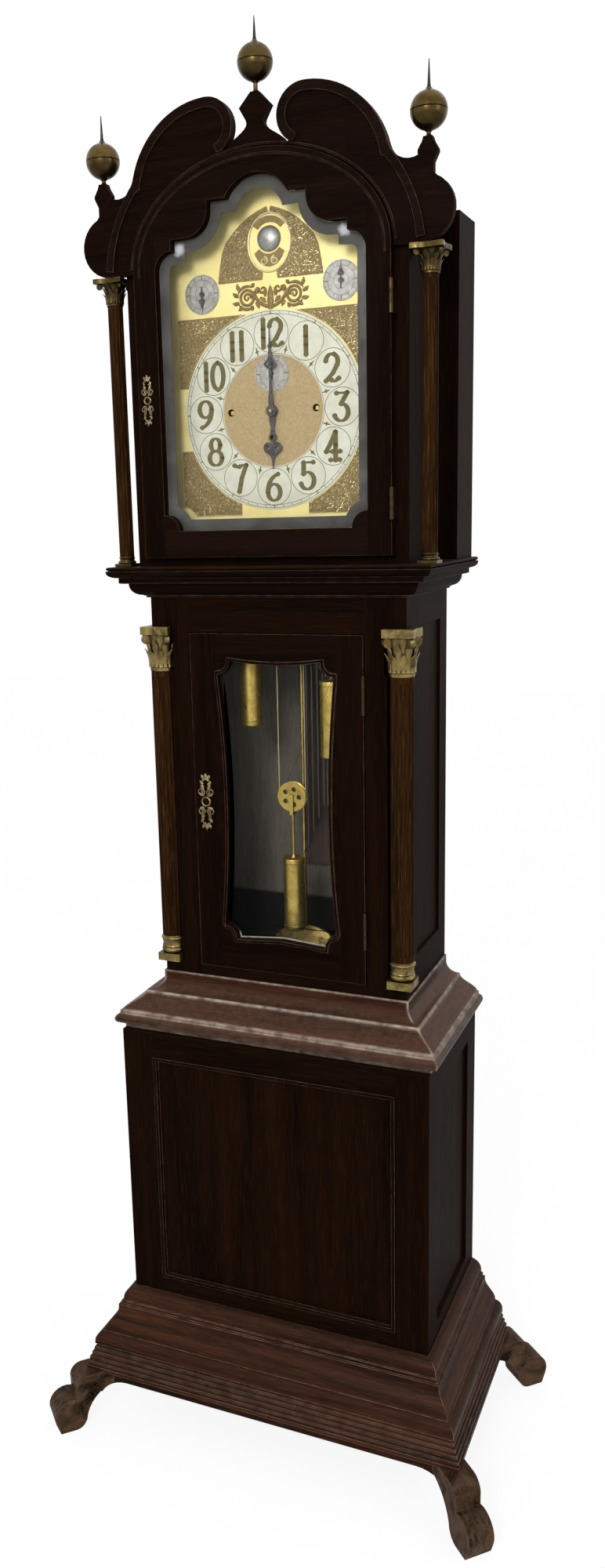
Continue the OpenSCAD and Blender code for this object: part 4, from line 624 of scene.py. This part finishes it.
trunk_glass_back, trunk_bevel_w, lit_line_w = 216, 7, 2.4
bevelled_glass("trunk_bevelled_glass", "trunk_door", "trunk_door_glass", trunk_opening, trunk_glass_back,
               trunk_bevel_w)
# The band is dark, with a painted highlight along its lower edge
lit_above_z, lit_below_z = 0.893, 0.888
line_finish, tree = new_finish("lit_bevel")
low_edge = part_of(tree, axis_of(tree, "Z"), lit_above_z, lit_below_z)
lit = maths(tree, "MULTIPLY", low_edge, part_of(tree, noise(tree, 60, 3), 0.35, 0.6, 0.5, 1))
coat(tree, blend(tree, lit, tint(30, 26, 24), tint(206, 202, 190)), 0.3, gloss=0.2)
ground_band("trunk_glass_band", "trunk_door", trunk_opening, trunk_glass_back, lit_line_w, line_finish)

# Escutcheons of the two doors
# Thin brass plates, cast and pierced with scrolls and leaves round a keyhole, and pinned to the stile.
escutcheon_brass = brass("escutcheon", tint(176, 158, 120), tint(84, 68, 46), spread=0.9,
                         depth=0.004, under_shade=0.5)


def scroll(centre, size, start, step, shrink, count):
    """Points of a coil that turns by step degrees and loses the share shrink of its size at each."""
    return [(centre[0] + size * (1 - shrink * k) * cos(radians(start + step * k)),
             centre[1] + size * (1 - shrink * k) * sin(radians(start + step * k))) for k in range(count)]


def thinning(start, step, count):
    return [start - step * k for k in range(count)]


def escutcheon(name, body, node, x, z, half_w, half_h, face_depth):
    mesh = bmesh.new()

    def on_door(across, up, lift):
        return Vector(((x + across) / 1000, depth_y(face_depth + lift), (z + up) / 1000))
    ring = arc((0, 0), half_w * 0.42, 0, 354, 24)
    relief(mesh, ring + ring[:1], 1.5, 1.6, on_door)
    for end in (-1, 1):
        for side in (-1, 1):
            def flipped(across, up, lift):
                return on_door(side * across, end * up, lift)
            coil = scroll((half_w * 0.5, half_h * 0.32), half_w * 0.4, 200, -26, 1 / 22, 20)
            relief(mesh, coil, thinning(1.5, 0.05, 20), thinning(1.7, 0.04, 20), flipped)
            stem = bow((half_w * 0.18, half_h * 0.2), (half_w * 0.2, half_h * 0.86), -half_w * 0.28, 8)
            relief(mesh, stem, thinning(1.6, 0.12, 9), thinning(1.8, 0.1, 9), flipped)
            for up, angle, reach in ((0.2, 15, 0.62), (0.44, 60, 0.5), (0.6, 28, 0.5), (0.72, 110, 0.42),
                                     (0.8, 48, 0.42)):
                leaf(mesh, (half_w * 0.24, half_h * up), angle, half_w * reach, half_w * 0.34, 1.7,
                     flipped, bend=40, lobes=2, rows=6)
        leaf(mesh, (0, end * half_h * 0.76), 90 * end, half_h * 0.22, half_w * 0.5, 1.9, on_door, lobes=2)
    # Two small bosses inside the ring, at the keyhole
    for boss_z, boss_r in ((2.2, 2.4), (-2.2, 1.3)):
        relief(mesh, [(-0.1, boss_z), (0.1, boss_z)], boss_r, 0.4, on_door)
    piece = new_piece(name, mesh, escutcheon_brass)
    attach(piece, body)
    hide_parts(node)


escutcheon("trunk_pierced_escutcheon", "trunk_door", "trunk_escutcheon", x=-125, z=1110, half_w=17,
           half_h=48, face_depth=228)

# Hood: frame, barrel roof, crest board and applied mouldings
# Mahogany boards glued up with a curved roof behind a fretted crest board. The rims of the scrolls and
# the beads are cut separately and glued to the face. The whole hood slides off forward.
hood_rail_reach = 0.16
crest_reach = 1.0
hood_wood = mahogany("hood", carcass_mid, carcass_light, rail_reach=hood_rail_reach, dust_and_lit_amount=0.4)
crest_wood = mahogany("crest", tint(25, 12, 8), tint(48, 27, 19), rail_reach=crest_reach, wear_and_highlight=0.7)
rim_wood = mahogany("rim", tint(30, 17, 12), tint(58, 36, 27), rail_reach=crest_reach, wear_and_highlight=1.0,
                    edge_radius=0.0014, rub_and_highlight=tint(112, 96, 84))
dress(hood_wood, "hood_frame", "hood_roof")
dress(crest_wood, "crest_board")
dress(rim_wood, "crest_mouldings")
dress(hinge_brass, "hood_hinge_leaves")

# Ball finials
# Two brass cups soldered at a seam round each ball, gone brown, on a thin neck that screws into the
# crest, with a dark steel spike on top.
centre_spike_z, side_spike_z, between_finials_x = 2.2015, 2.1055, 0.1
finial_finish, tree = new_finish("finial_brass")
# The balls' undersides are strongly darkened with painted shade
old = place_group(tree, patina, {"Bright": tint(112, 92, 50), "Tarnish": tint(58, 42, 20),
                                 "Dirt And Shade": tint(24, 16, 8), "Spread": 0.95, "Depth": 0.004, "Under Shade": 0.8})
in_middle = maths(tree, "LESS_THAN", maths(tree, "ABSOLUTE", axis_of(tree, "X")), between_finials_x)
spike_foot = part_of(tree, in_middle, 0, 1, side_spike_z, centre_spike_z)
on_spike = maths(tree, "GREATER_THAN", axis_of(tree, "Z"), spike_foot)
coat(tree, blend(tree, on_spike, old["Color"], tint(56, 53, 48)),
     part_of(tree, old["Roughness"], 0.24, 0.6, 0.18, 0.42), metal=0.9)
dress(finial_finish, "finials")

# Hood door
# A mahogany frame with an arched head, sawn out to a stepped and lobed opening, with a broad bevelled
# glass. It has two brass butts and a small pierced escutcheon.
hood_door_rail_reach = 0.163
hood_door_wood = mahogany("hood_door", tint(26, 14, 9), tint(46, 27, 18),
                          rail_reach=hood_door_rail_reach, wear_and_highlight=0.9, edge_radius=0.0014,
                          rub_and_highlight=tint(100, 78, 64))
dress(hood_door_wood, "hood_door_frame")
dress(hinge_brass, "hood_door_hinge_leaves")
escutcheon("hood_pierced_escutcheon", "hood_door", "hood_escutcheon", x=-184, z=1734, half_w=12,
           half_h=38, face_depth=258.9)


def hood_opening(grow):
    """Outline of the hood door's glazed opening, in millimetres, grown on every side."""
    side, sill, head_r, head_z, ledge_1, step_1 = 163, 1540, 54, 1977, 2003, 76
    lobe_r, ledge_2, step_2, shoulder_r, shoulder_z, sill_r = 36, 1956, 136, 27, 1914, 24
    shoulder = acos(max((step_2 - side + shoulder_r + grow) / (shoulder_r + grow), 0))
    lobe = asin(max(ledge_2 + lobe_r - ledge_1 - grow, 0) / (lobe_r - grow))
    head_end = asin((ledge_1 - head_z + grow) / (head_r + grow))
    cut_r = sill_r - grow
    return mirrored(
        arc((0, head_z), head_r + grow, 90, degrees(head_end), 9)
        + [(step_1 + grow, ledge_1 + grow + 0.5)]
        + arc((step_1 + lobe_r, ledge_2 + lobe_r), lobe_r - grow, 180 + degrees(lobe), 270, 7)
        + [(step_2 + grow, ledge_2 + grow),
           (step_2 + grow, shoulder_z + (shoulder_r + grow) * sin(shoulder) + 1.5)]
        + arc((side - shoulder_r, shoulder_z), shoulder_r + grow, degrees(shoulder), 0, 7)
        + arc((side, sill), cut_r, degrees(acos(grow / cut_r)), 180 + degrees(asin(grow / cut_r)), 7))


hood_glass_back, hood_bevel_w = 244.9, 17
bevelled_glass("hood_bevelled_glass", "hood_door", "hood_door_glass", hood_opening, hood_glass_back,
               hood_bevel_w)
# The ground slope shows as a grey band of painted reflection, with a painted glint at each upper step
step_corner = (0.128, 1.944, 0)
band_finish, tree = new_finish("bevel_painted_reflection")
cloudy = part_of(tree, noise(tree, 22, 3, 0.5, 0.6), 0.42, 0.75)
slope_reflection = blend(tree, cloudy, tint(76, 73, 70), tint(102, 99, 95))
either_side = maths(tree, "ABSOLUTE", axis_of(tree, "X"))
flat = add(tree, "CombineXYZ", {"X": either_side, "Y": axis_of(tree, "Z")}).outputs[0]
from_step = add(tree, "VectorMath", {0: flat, 1: step_corner}, operation="DISTANCE").outputs["Value"]
ragged = maths(tree, "ADD", from_step, part_of(tree, noise(tree, 90, 3), 0, 1, -0.006, 0.006))
glint = part_of(tree, ragged, 0.011, 0.004)
coat(tree, blend(tree, glint, slope_reflection, tint(206, 206, 208)), 0.3, gloss=0.1,
     Normal=bumped(tree, noise(tree, 45, 2), 0.3, 0.001))
ground_band("hood_glass_band", "hood_door", hood_opening, hood_glass_back, hood_bevel_w, band_finish)

# Dial plate
# Rolled brass, gilt bright round the rings and matted in the middle with a fine punch. It stands on four
# feet pinned through the front movement plate.
dial_z, dial_face, matted_r = 1.712, 209, 0.1
plate_finish, tree = new_finish("gilt_dial")
up_from_centre = maths(tree, "SUBTRACT", axis_of(tree, "Z"), dial_z)
flat = add(tree, "CombineXYZ", {"X": axis_of(tree, "X"), "Y": up_from_centre}).outputs[0]
from_centre = add(tree, "VectorMath", {0: flat}, operation="LENGTH").outputs["Value"]
matted = maths(tree, "LESS_THAN", from_centre, matted_r)
clouds = part_of(tree, noise(tree, 14, 4, 0.6), 0.35, 0.7)
gilt = blend(tree, clouds, tint(240, 226, 160), tint(228, 206, 128))
tan = blend(tree, noise(tree, 300, 3), tint(160, 136, 94), tint(206, 184, 142))
punched = add(tree, "TexVoronoi", {"Vector": spot_on(tree), "Scale": 900}).outputs["Distance"]
coat(tree, blend(tree, matted, gilt, tan), part_of(tree, matted, 0, 1, 0.52, 0.75), metal=0.45,
     Normal=bumped(tree, punched, part_of(tree, matted, 0, 1, 0.05, 0.6)))
dress(plate_finish, "dial_plate")


def on_dial(across, up, lift):
    """A point on the dial's plane, in millimetres from its centre."""
    return Vector((across / 1000, depth_y(dial_face + lift), dial_z + up / 1000))


# Chapter ring and the small rings
# Silvered brass, engraved and filled with brown wax: hour numbers in circles with a small star between
# them, and a minute track at the rim.
silvered, tree = new_finish("silvered_ring")
age = part_of(tree, noise(tree, 30, 5, 0.65), 0.35, 0.75)
coat(tree, blend(tree, age, tint(226, 226, 208), tint(204, 200, 176)),
     part_of(tree, noise(tree, 260, 2), 0.3, 0.7, 0.32, 0.5), metal=0.15)
grey_silver, tree = new_finish("grey_silver")
age = part_of(tree, noise(tree, 120, 5, 0.7), 0.3, 0.75)
coat(tree, blend(tree, age, tint(186, 184, 178), tint(124, 120, 112)), 0.42, metal=0.5)
dress(silvered, "chapter_ring")
dress(grey_silver, "subsidiary_dials")
wax, tree = new_finish("brown_wax")
coat(tree, blend(tree, noise(tree, 200, 3), tint(100, 92, 60), tint(134, 124, 86)), 0.6, gloss=0.1)

# Pen strokes of each numeral, in a box one unit high
strokes = {
    "0": [arc((0.3, 0.5), 0.24, 90, 450, 20, 0.48)],
    "1": [[(0.19, 0.02), (0.19, 0.36)], [(0.19, 0.36), (0.19, 0.66)], [(0.19, 0.66), (0.19, 0.98)]],
    "2": [arc((0.29, 0.72), 0.24, 175, -35, 12, 0.26), [(0.49, 0.57), (0.32, 0.3), (0.06, 0.06)],
          [(0.05, 0.05), (0.2, 0.1), (0.4, 0.02), (0.56, 0.12)]],
    "3": [[(0.08, 0.98), (0.5, 0.98)], [(0.5, 0.98), (0.26, 0.6)],
          arc((0.26, 0.3), 0.28, 88, -160, 14, 0.3)],
    "4": [[(0.4, 0), (0.4, 0.55)], [(0.4, 1), (0.2, 0.6), (0.02, 0.32)], [(0.02, 0.31), (0.58, 0.31)],
          [(0.2, 0.01), (0.56, 0.01)], [(0.4, 0.55), (0.4, 1)]],
    "5": [[(0.12, 0.97), (0.52, 0.97)], [(0.13, 0.97), (0.12, 0.56)],
          arc((0.27, 0.31), 0.28, 125, -160, 14, 0.31)],
    "6": [arc((0.62, 0.34), 0.58, 105, 180, 9, 0.64), arc((0.3, 0.3), 0.26, 180, 540, 18, 0.3)],
    "7": [[(0.06, 0.97), (0.22, 0.9), (0.4, 0.97), (0.56, 0.97)], [(0.56, 0.97), (0.36, 0.5), (0.24, 0)]],
    "8": [arc((0.3, 0.75), 0.2, 0, 360, 16, 0.24), arc((0.3, 0.27), 0.27, 0, 360, 18, 0.27)],
    "9": [arc((-0.02, 0.66), 0.58, -75, 0, 9, 0.64), arc((0.3, 0.7), 0.26, 0, 360, 18, 0.3)],
}
wax_rise = 0.14


def wax_line(mesh, line, half_width, lift, rise=wax_rise):
    relief(mesh, line, half_width, rise, on_dial, lift, sides=2)


def finer(points, step):
    """The same line with points no further apart than step."""
    line = [points[0]]
    for start, end in zip(points, points[1:]):
        pieces = max(1, round(hypot(end[0] - start[0], end[1] - start[1]) / step))
        line += [(start[0] + (end[0] - start[0]) * k / pieces, start[1] + (end[1] - start[1]) * k / pieces)
                 for k in range(1, pieces + 1)]
    return line


def numeral(mesh, text, centre, height, lift):
    """Upright figures about a centre, thick on their upright strokes, with a ball at each stroke's ends
    and one in the middle of a long stroke."""
    pitches = [height * (0.38 if figure == "1" else 0.6) for figure in text]
    for place, figure in enumerate(text):
        left = centre[0] - sum(pitches) / 2 + sum(pitches[:place])
        for stroke in strokes[figure]:
            line = finer([(left + x * height * 0.96, centre[1] + (z - 0.5) * height) for x, z in stroke],
                         height * 0.06)
            last = len(line) - 1
            widths = [height * (0.04 + 0.056 * abs(heading(line, i)[1])) for i in range(last + 1)]
            wax_line(mesh, line, widths, lift)
            for tip in [line[0], line[-1]] + ([line[last // 2]] if last > 8 else []):
                ball = [(tip[0], tip[1] + height * k) for k in (-0.09, -0.05, 0, 0.05, 0.09)]
                wax_line(mesh, ball, [height * k for k in (0.02, 0.085, 0.11, 0.085, 0.02)], lift, 0.15)


def ring_line(mesh, centre, radius, half_w, lift, steps=96):
    ring = arc(centre, radius, 0, 360 * (steps - 1) / steps, steps - 1)
    wax_line(mesh, ring + ring[:1], half_w, lift, 0.12)


def stroke_out(mesh, centre, turn, inner, outer, half_w, lift):
    """A straight stroke that points away from a ring's centre."""
    line = [(centre[0] + reach * cos(turn), centre[1] + reach * sin(turn)) for reach in (inner, outer)]
    wax_line(mesh, line, half_w, lift)


ring_top = 1.5
dial_centre = (0, 0)
numeral_height, hour_ring_r, hour_circle_r, star_ring_r = 40, 110, 27.2, 88
long_ray, short_ray = 7, 3.5
minute_outer, minute_inner, fifth_inner = 140.6, 136.8, 136
inner_circle_r, track_inner_r, track_outer_r = 81.5, 136.6, 140.8
mesh = bmesh.new()
for hour in range(1, 13):
    turn = radians(90 - 30 * hour)
    centre = (hour_ring_r * cos(turn), hour_ring_r * sin(turn))
    numeral(mesh, str(hour), centre, numeral_height, ring_top)
    ring_line(mesh, centre, hour_circle_r, 0.45, ring_top, steps=48)
    # Four-pointed star between two circles, near the inner edge
    between = radians(75 - 30 * hour)
    star = (star_ring_r * cos(between), star_ring_r * sin(between))
    for k in range(4):
        point = between + pi / 2 * k
        reach = short_ray if k % 2 else long_ray
        line = [star, (star[0] + reach * cos(point), star[1] + reach * sin(point))]
        wax_line(mesh, line, [1.7, 0.2], ring_top, [wax_rise, 0.1])
for minute in range(60):
    stroke_out(mesh, dial_centre, radians(6 * minute), minute_inner if minute % 5 else fifth_inner,
               minute_outer, 0.35 if minute % 5 else 0.8, ring_top)
for circle_r in (inner_circle_r, track_inner_r, track_outer_r):
    ring_line(mesh, dial_centre, circle_r, 0.35, ring_top)
engraving = new_piece("chapter_engraving", mesh, wax, smooth=False)
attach(engraving, "case")

# Engraving of the small rings
# Three fine circles and twelve strokes on the seconds ring and on each selector ring, filled with the
# same wax. Every third stroke is broad.
mesh = bmesh.new()
seconds_ring = ((0, 53), 27, 0.8)
selector_rings = [((side * 110, 173), 28, ring_top) for side in (-1, 1)]
for centre, ring_r, top in [seconds_ring] + selector_rings:
    for share in (0.94, 0.72, 0.4):
        ring_line(mesh, centre, ring_r * share, 0.28, top, steps=48)
    for mark in range(12):
        stroke_out(mesh, centre, radians(30 * mark), ring_r * 0.74, ring_r * 0.92, 0.4 if mark % 3 else 0.8,
                   top)
small_engraving = new_piece("small_ring_engraving", mesh, wax, smooth=False)
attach(small_engraving, "case")

# Castings of the dial
# Gilt brass corner pieces, a fan in the arch and a scrolled piece under it, cast in leaf relief, chased
# and screwed to the plate from behind. Their hollows are dark with tarnish and painted shade, and their
# tips carry a painted highlight.
casting_brass, tree = new_finish("casting_brass")
# Height off the plate sets the colour: dark at the ground, part tarnish and part painted shade, and bright
# at the tips, a painted highlight
off_plate = part_of(tree, axis_of(tree, "Y"), depth_y(dial_face + 0.9), depth_y(dial_face + 1.7))
toned_and_highlit = blend(tree, part_of(tree, noise(tree, 90, 4, 0.7), 0.35, 0.7), tint(250, 236, 190),
              tint(200, 180, 124))
coat(tree, blend(tree, off_plate, tint(76, 58, 28), toned_and_highlit),
     part_of(tree, off_plate, 0, 1, 0.6, 0.3), metal=0.5)
sunk_ground, tree = new_finish("sunk_ground")
coat(tree, blend(tree, noise(tree, 400, 4), tint(88, 70, 38), tint(176, 152, 98)), 0.65, metal=0.4)


def inside(point, outline):
    within = False
    for (x0, z0), (x1, z1) in zip(outline, outline[1:] + outline[:1]):
        if (z0 > point[1]) != (z1 > point[1]) and point[0] < (x1 - x0) * (point[1] - z0) / (z1 - z0) + x0:
            within = not within
    return within


def sunk_plate(mesh, outline, thickness, place):
    """A flat ground of the castings, in their second and darker finish."""
    layers = [[mesh.verts.new(place(x, z, lift)) for x, z in outline] for lift in (0, thickness)]
    for face in skin_over(mesh, layers):
        face.material_index = 1


def foliage(mesh, outline, pitch, flow, chance, place):
    """Fills an outline with leaves on a loose grid, each turned to the flow at its place."""
    low_x, high_x = min(x for x, z in outline), max(x for x, z in outline)
    low_z, high_z = min(z for x, z in outline), max(z for x, z in outline)
    row = 0
    z = low_z
    while z <= high_z:
        x = low_x + (pitch / 2 if row % 2 else 0)
        while x <= high_x:
            point = (x + chance.uniform(-1, 1) * pitch * 0.2, z + chance.uniform(-1, 1) * pitch * 0.2)
            length = pitch * chance.uniform(0.9, 1.4)
            angle = flow(*point) + chance.uniform(-90, 90)
            tip = (point[0] + length * cos(radians(angle)), point[1] + length * sin(radians(angle)))
            if inside(point, outline) and inside(tip, outline):
                leaf(mesh, point, angle, length, pitch * 0.55, chance.uniform(1.2, 2.8), place,
                     bend=chance.uniform(-150, 150), lobes=2, rows=5)
            x += pitch
        z += pitch * 0.8
        row += 1


def corner_flow(x, z):
    return degrees(atan2(z, x)) + 60 * sin(x / 14) + 50 * cos(z / 11)


def fan_flow(x, z):
    return degrees(atan2(z - 190, x)) + 40 * sin(z / 9)


casting_edge, casting_inner_r, ground_rise = 152, 145, 0.8
corner_pitch, fan_pitch = 4.0, 4.2
foot_cut_at, foot_cut_r = (163, -172), 39
roundel, upper_scroll, fan_scroll = (37, 162), (12, 172), (8.5, 210)
low_outline = (arc(dial_centre, casting_inner_r, -67.6, -21.4, 10)
               + [(casting_edge, -53), (casting_edge, -134.6)]
               + arc(foot_cut_at, foot_cut_r, 106.4, 145.6, 5) + [(55.3, -150)])
high_outline = arc(dial_centre, casting_inner_r, 73.5, 16, 12) + [(casting_edge, 40), (casting_edge, 139)]
fan_middle = (0, 235)
fan_outline = ([(12, 185), (83, 185), (80, 206), (76, 226), (69, 241), (58.5, 252), (46, 263), (33, 272),
                (18, 279), (3, 284)] + arc(fan_middle, 35, 88, -72, 12, 42))
mesh = bmesh.new()
for side in (-1, 1):
    def on_side(across, up, lift):
        return on_dial(side * across, up, lift)
    for outline in (low_outline, high_outline):
        sunk_plate(mesh, outline, ground_rise, on_side)
        foliage(mesh, outline, corner_pitch, corner_flow, random.Random(7), on_side)
        relief(mesh, outline + outline[:1], 0.7, 1.8, on_side)
    # Scrolled casting under the fan: a roundel in two C-scrolls, with leaves
    ring = arc(roundel, 10.5, 0, 345, 23)
    relief(mesh, ring + ring[:1], 2.2, 2.5, on_side)
    relief(mesh, bow((2, 147), (27, 170), -5, 10), 2.6, 2.6, on_side)
    for centre, size, start, step in ((roundel, 6.5, 190, -21.6), (upper_scroll, 6, 20, -19.8)):
        relief(mesh, scroll(centre, size, start, step, 0.04, 21), thinning(2.1, 0.05, 21),
               thinning(2.6, 0.04, 21), on_side)
    for start, end in ((25, 120), (-130, -35)):
        relief(mesh, arc(roundel, 16, start, end, 12), [0.8 + 1.6 * sin(pi * k / 12) for k in range(13)],
               2.5, on_side)
    for x, z, angle, length in ((49, 173, 50, 11), (51, 165, 12, 11), (50, 156, -20, 11), (45, 151, -60, 9),
                                (29, 176, 110, 7), (24, 171, 140, 8), (23, 154, -140, 10),
                                (16, 160, 200, 12), (8, 162, 80, 12), (30, 150, -110, 7), (20, 167, 60, 9)):
        leaf(mesh, (x, z), angle, length, 7, 2.7, on_side, bend=50, lobes=2, rows=6)
    # Leaves of the fan, on each side of its oval rim, with a scroll at its foot
    sunk_plate(mesh, fan_outline, ground_rise, on_side)
    foliage(mesh, fan_outline, fan_pitch, fan_flow, random.Random(11), on_side)
    relief(mesh, scroll(fan_scroll, 6, 100, 24, 0.035, 21), thinning(1.8, 0.04, 21), 2.6, on_side)
leaf(mesh, (0, 143), 90, 34, 12, 2.8, on_dial, lobes=3)
# Plain oval rim, with a dark band over the boss and another under it
boss_centre = (0, 240)
rim = arc(fan_middle, 33, 0, 351, 39, 40)
over_boss = arc(boss_centre, 31, 38, 142, 14) + arc(boss_centre, 22.5, 142, 38, 14)
under_boss = arc((0, 236), 26, 205, 335, 14, 34) + arc(boss_centre, 20.5, 320, 220, 14)
relief(mesh, rim + rim[:1], 1.3, 1.2, on_dial, 1.2)
sunk_plate(mesh, over_boss, 2, on_dial)
sunk_plate(mesh, under_boss, 1.2, on_dial)
# The scrolled piece takes the darker finish of the grounds of the others
dark_from, dark_to, dark_half_w = 0.14, 0.1835, 0.066
for face in mesh.faces:
    middle = face.calc_center_median()
    if dark_from < middle.z - on_dial(0, 0, 0).z < dark_to and abs(middle.x) < dark_half_w:
        face.material_index = 1
castings = new_piece("dial_leaf_castings", mesh, casting_brass)
castings.data.materials.append(sunk_ground)
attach(castings, "case")
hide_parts("dial_castings")

# Boss in the middle of the fan
# A plain silvered dome, spun from sheet and let into the oval rim.
boss_r, boss_rise, boss_depth = 18.5, 18, 9
mesh = bmesh.new()
rings = []
for k in range(7):
    tilt = radians(90 * k / 6)
    ring = arc(boss_centre, max(boss_r * cos(tilt), 0.05), 0, 345, 23, max(boss_rise * cos(tilt), 0.05))
    rings.append([mesh.verts.new(on_dial(x, z, 1 + boss_depth * sin(tilt))) for x, z in ring])
skin_over(mesh, rings)
boss = new_piece("arch_boss", mesh, grey_silver)
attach(boss, "case")

# Hands
# Sawn and pierced from thin steel, filed up and blued almost black. They are pinned to their arbors.
blued, tree = new_finish("blued_steel")
tone = part_of(tree, noise(tree, 160, 3), 0.35, 0.7)
edges = place_group(tree, worn_and_lit_edges, {"Radius": 0.0003, "Amount": 0.6})
shade = blend(tree, tone, tint(62, 60, 62), tint(96, 92, 90))
coat(tree, blend(tree, edges["Mask"], shade, tint(150, 150, 158)), 0.34, metal=0.7,
     Normal=edges["Normal"])
dress(blued, "hour_hand", "minute_hand", "seconds_hand", "chime_selector_hand", "strike_selector_hand")

# Movement
# Cast and scraped brass plates with turned pillars, brass wheels cut on an engine, and arbors of steel.
# The anchor and its crutch are steel.
plate_brass = brass("plate", tint(206, 172, 98), tint(150, 118, 62), spread=0.5)
wheel_brass = brass("wheel", tint(220, 188, 108), tint(168, 134, 72), spread=0.4, depth=0.002)
dress(plate_brass, "movement_frame")
dress(wheel_brass, "centre_wheel", "hour_wheel", "minute_wheel", "third_wheel", "escape_wheel",
      "great_wheel", "going_barrel", "strike_barrel", "chime_barrel")
steel, tree = new_finish("mill_steel")
coat(tree, blend(tree, noise(tree, 220, 4), tint(118, 116, 112), tint(158, 156, 152)),
     part_of(tree, noise(tree, 500, 2), 0.3, 0.7, 0.3, 0.5), metal=0.9)
dress(steel, "anchor")

# Chime rods
# Five steel rods of falling length, screwed into a block on a brown board at the back of the trunk.
rod_plane_y, rod_top_z = 0.152, 1.3399
rod_finish, tree = new_finish("chime_board")
wood = place_group(tree, grain, {"Dark": tint(46, 32, 26), "Mid": tint(78, 58, 48),
                                 "Light": tint(104, 82, 68), "Figure": 0.7})
on_rod = maths(tree, "MULTIPLY", maths(tree, "LESS_THAN", axis_of(tree, "Y"), rod_plane_y),
               maths(tree, "LESS_THAN", axis_of(tree, "Z"), rod_top_z))
coat(tree, blend(tree, on_rod, wood["Color"], tint(120, 112, 100)),
     part_of(tree, on_rod, 0, 1, 0.6, 0.35), metal=on_rod)
dress(rod_finish, "chime_rods")

# Pendulum, weights and pulleys
# Brass shells over lead, polished and lacquered, on a steel rod and hooks. They have dulled unevenly.
weight_brass = brass("weight", tint(206, 182, 100), tint(146, 118, 52), dirt_and_shade=tint(60, 46, 20), spread=0.9)
bob_brass = brass("bob", tint(190, 166, 100), tint(120, 96, 48), spread=0.9)
dress(bob_brass, "pendulum")
for train in ("going", "strike", "chime"):
    dress(weight_brass, train + "_weight", train + "_pulley")

# Lines
# Twisted gut, pale and oiled. Each goes from its drum down under the pulley and up to a button on the
# seatboard, so its free part grows longer as the weight falls.
gut, tree = new_finish("gut_line")
twist = add(tree, "TexWave", {"Vector": spot_on(tree), "Scale": 240, "Distortion": 2},
            bands_direction="DIAGONAL").outputs[0]
coat(tree, blend(tree, twist, tint(206, 194, 150), tint(150, 134, 92)), 0.4,
     Normal=bumped(tree, twist, 0.5))
fall_r, line_r, line_depth, seat_top_z = 22.8, 1.0, 163, 1548
lines = {"going": (0, 1674, 1113), "strike": (-68.5, 1713, 1453), "chime": (68.5, 1713, 1407)}


def round_section(mesh, centre, across, up, radius, points):
    """A ring of points about a centre, where across and up say how X and Z change with its width."""
    turns = [2 * pi * k / points for k in range(points)]
    return [mesh.verts.new(((centre[0] + across * radius * cos(turn)) / 1000,
                            depth_y(line_depth + radius * sin(turn)),
                            (centre[1] + up * radius * cos(turn)) / 1000)) for turn in turns]


for train, (x, drum_z, pulley_z) in lines.items():
    knot_x = x + fall_r
    route = (arc((x, drum_z), fall_r, 0, 180, 20) + arc((x, pulley_z), fall_r, 180, 360, 20)
             + [(knot_x, seat_top_z)])
    mesh = bmesh.new()
    sections = []
    for i, spot in enumerate(route):
        run_x, run_z = heading(route, i)
        sections.append(round_section(mesh, spot, -run_z, run_x, line_r, 8))
    skin_over(mesh, sections)
    # Knotted button over the hole in the seatboard
    skin_over(mesh, [round_section(mesh, (knot_x, seat_top_z + up), 1, 0, out, 16)
                     for up, out in ((0.3, 3.4), (1, 4), (4.3, 4), (5.3, 2.6))])
    line = new_piece(train + "_line", mesh, gut)
    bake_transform(line)
    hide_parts(train + "_cable")
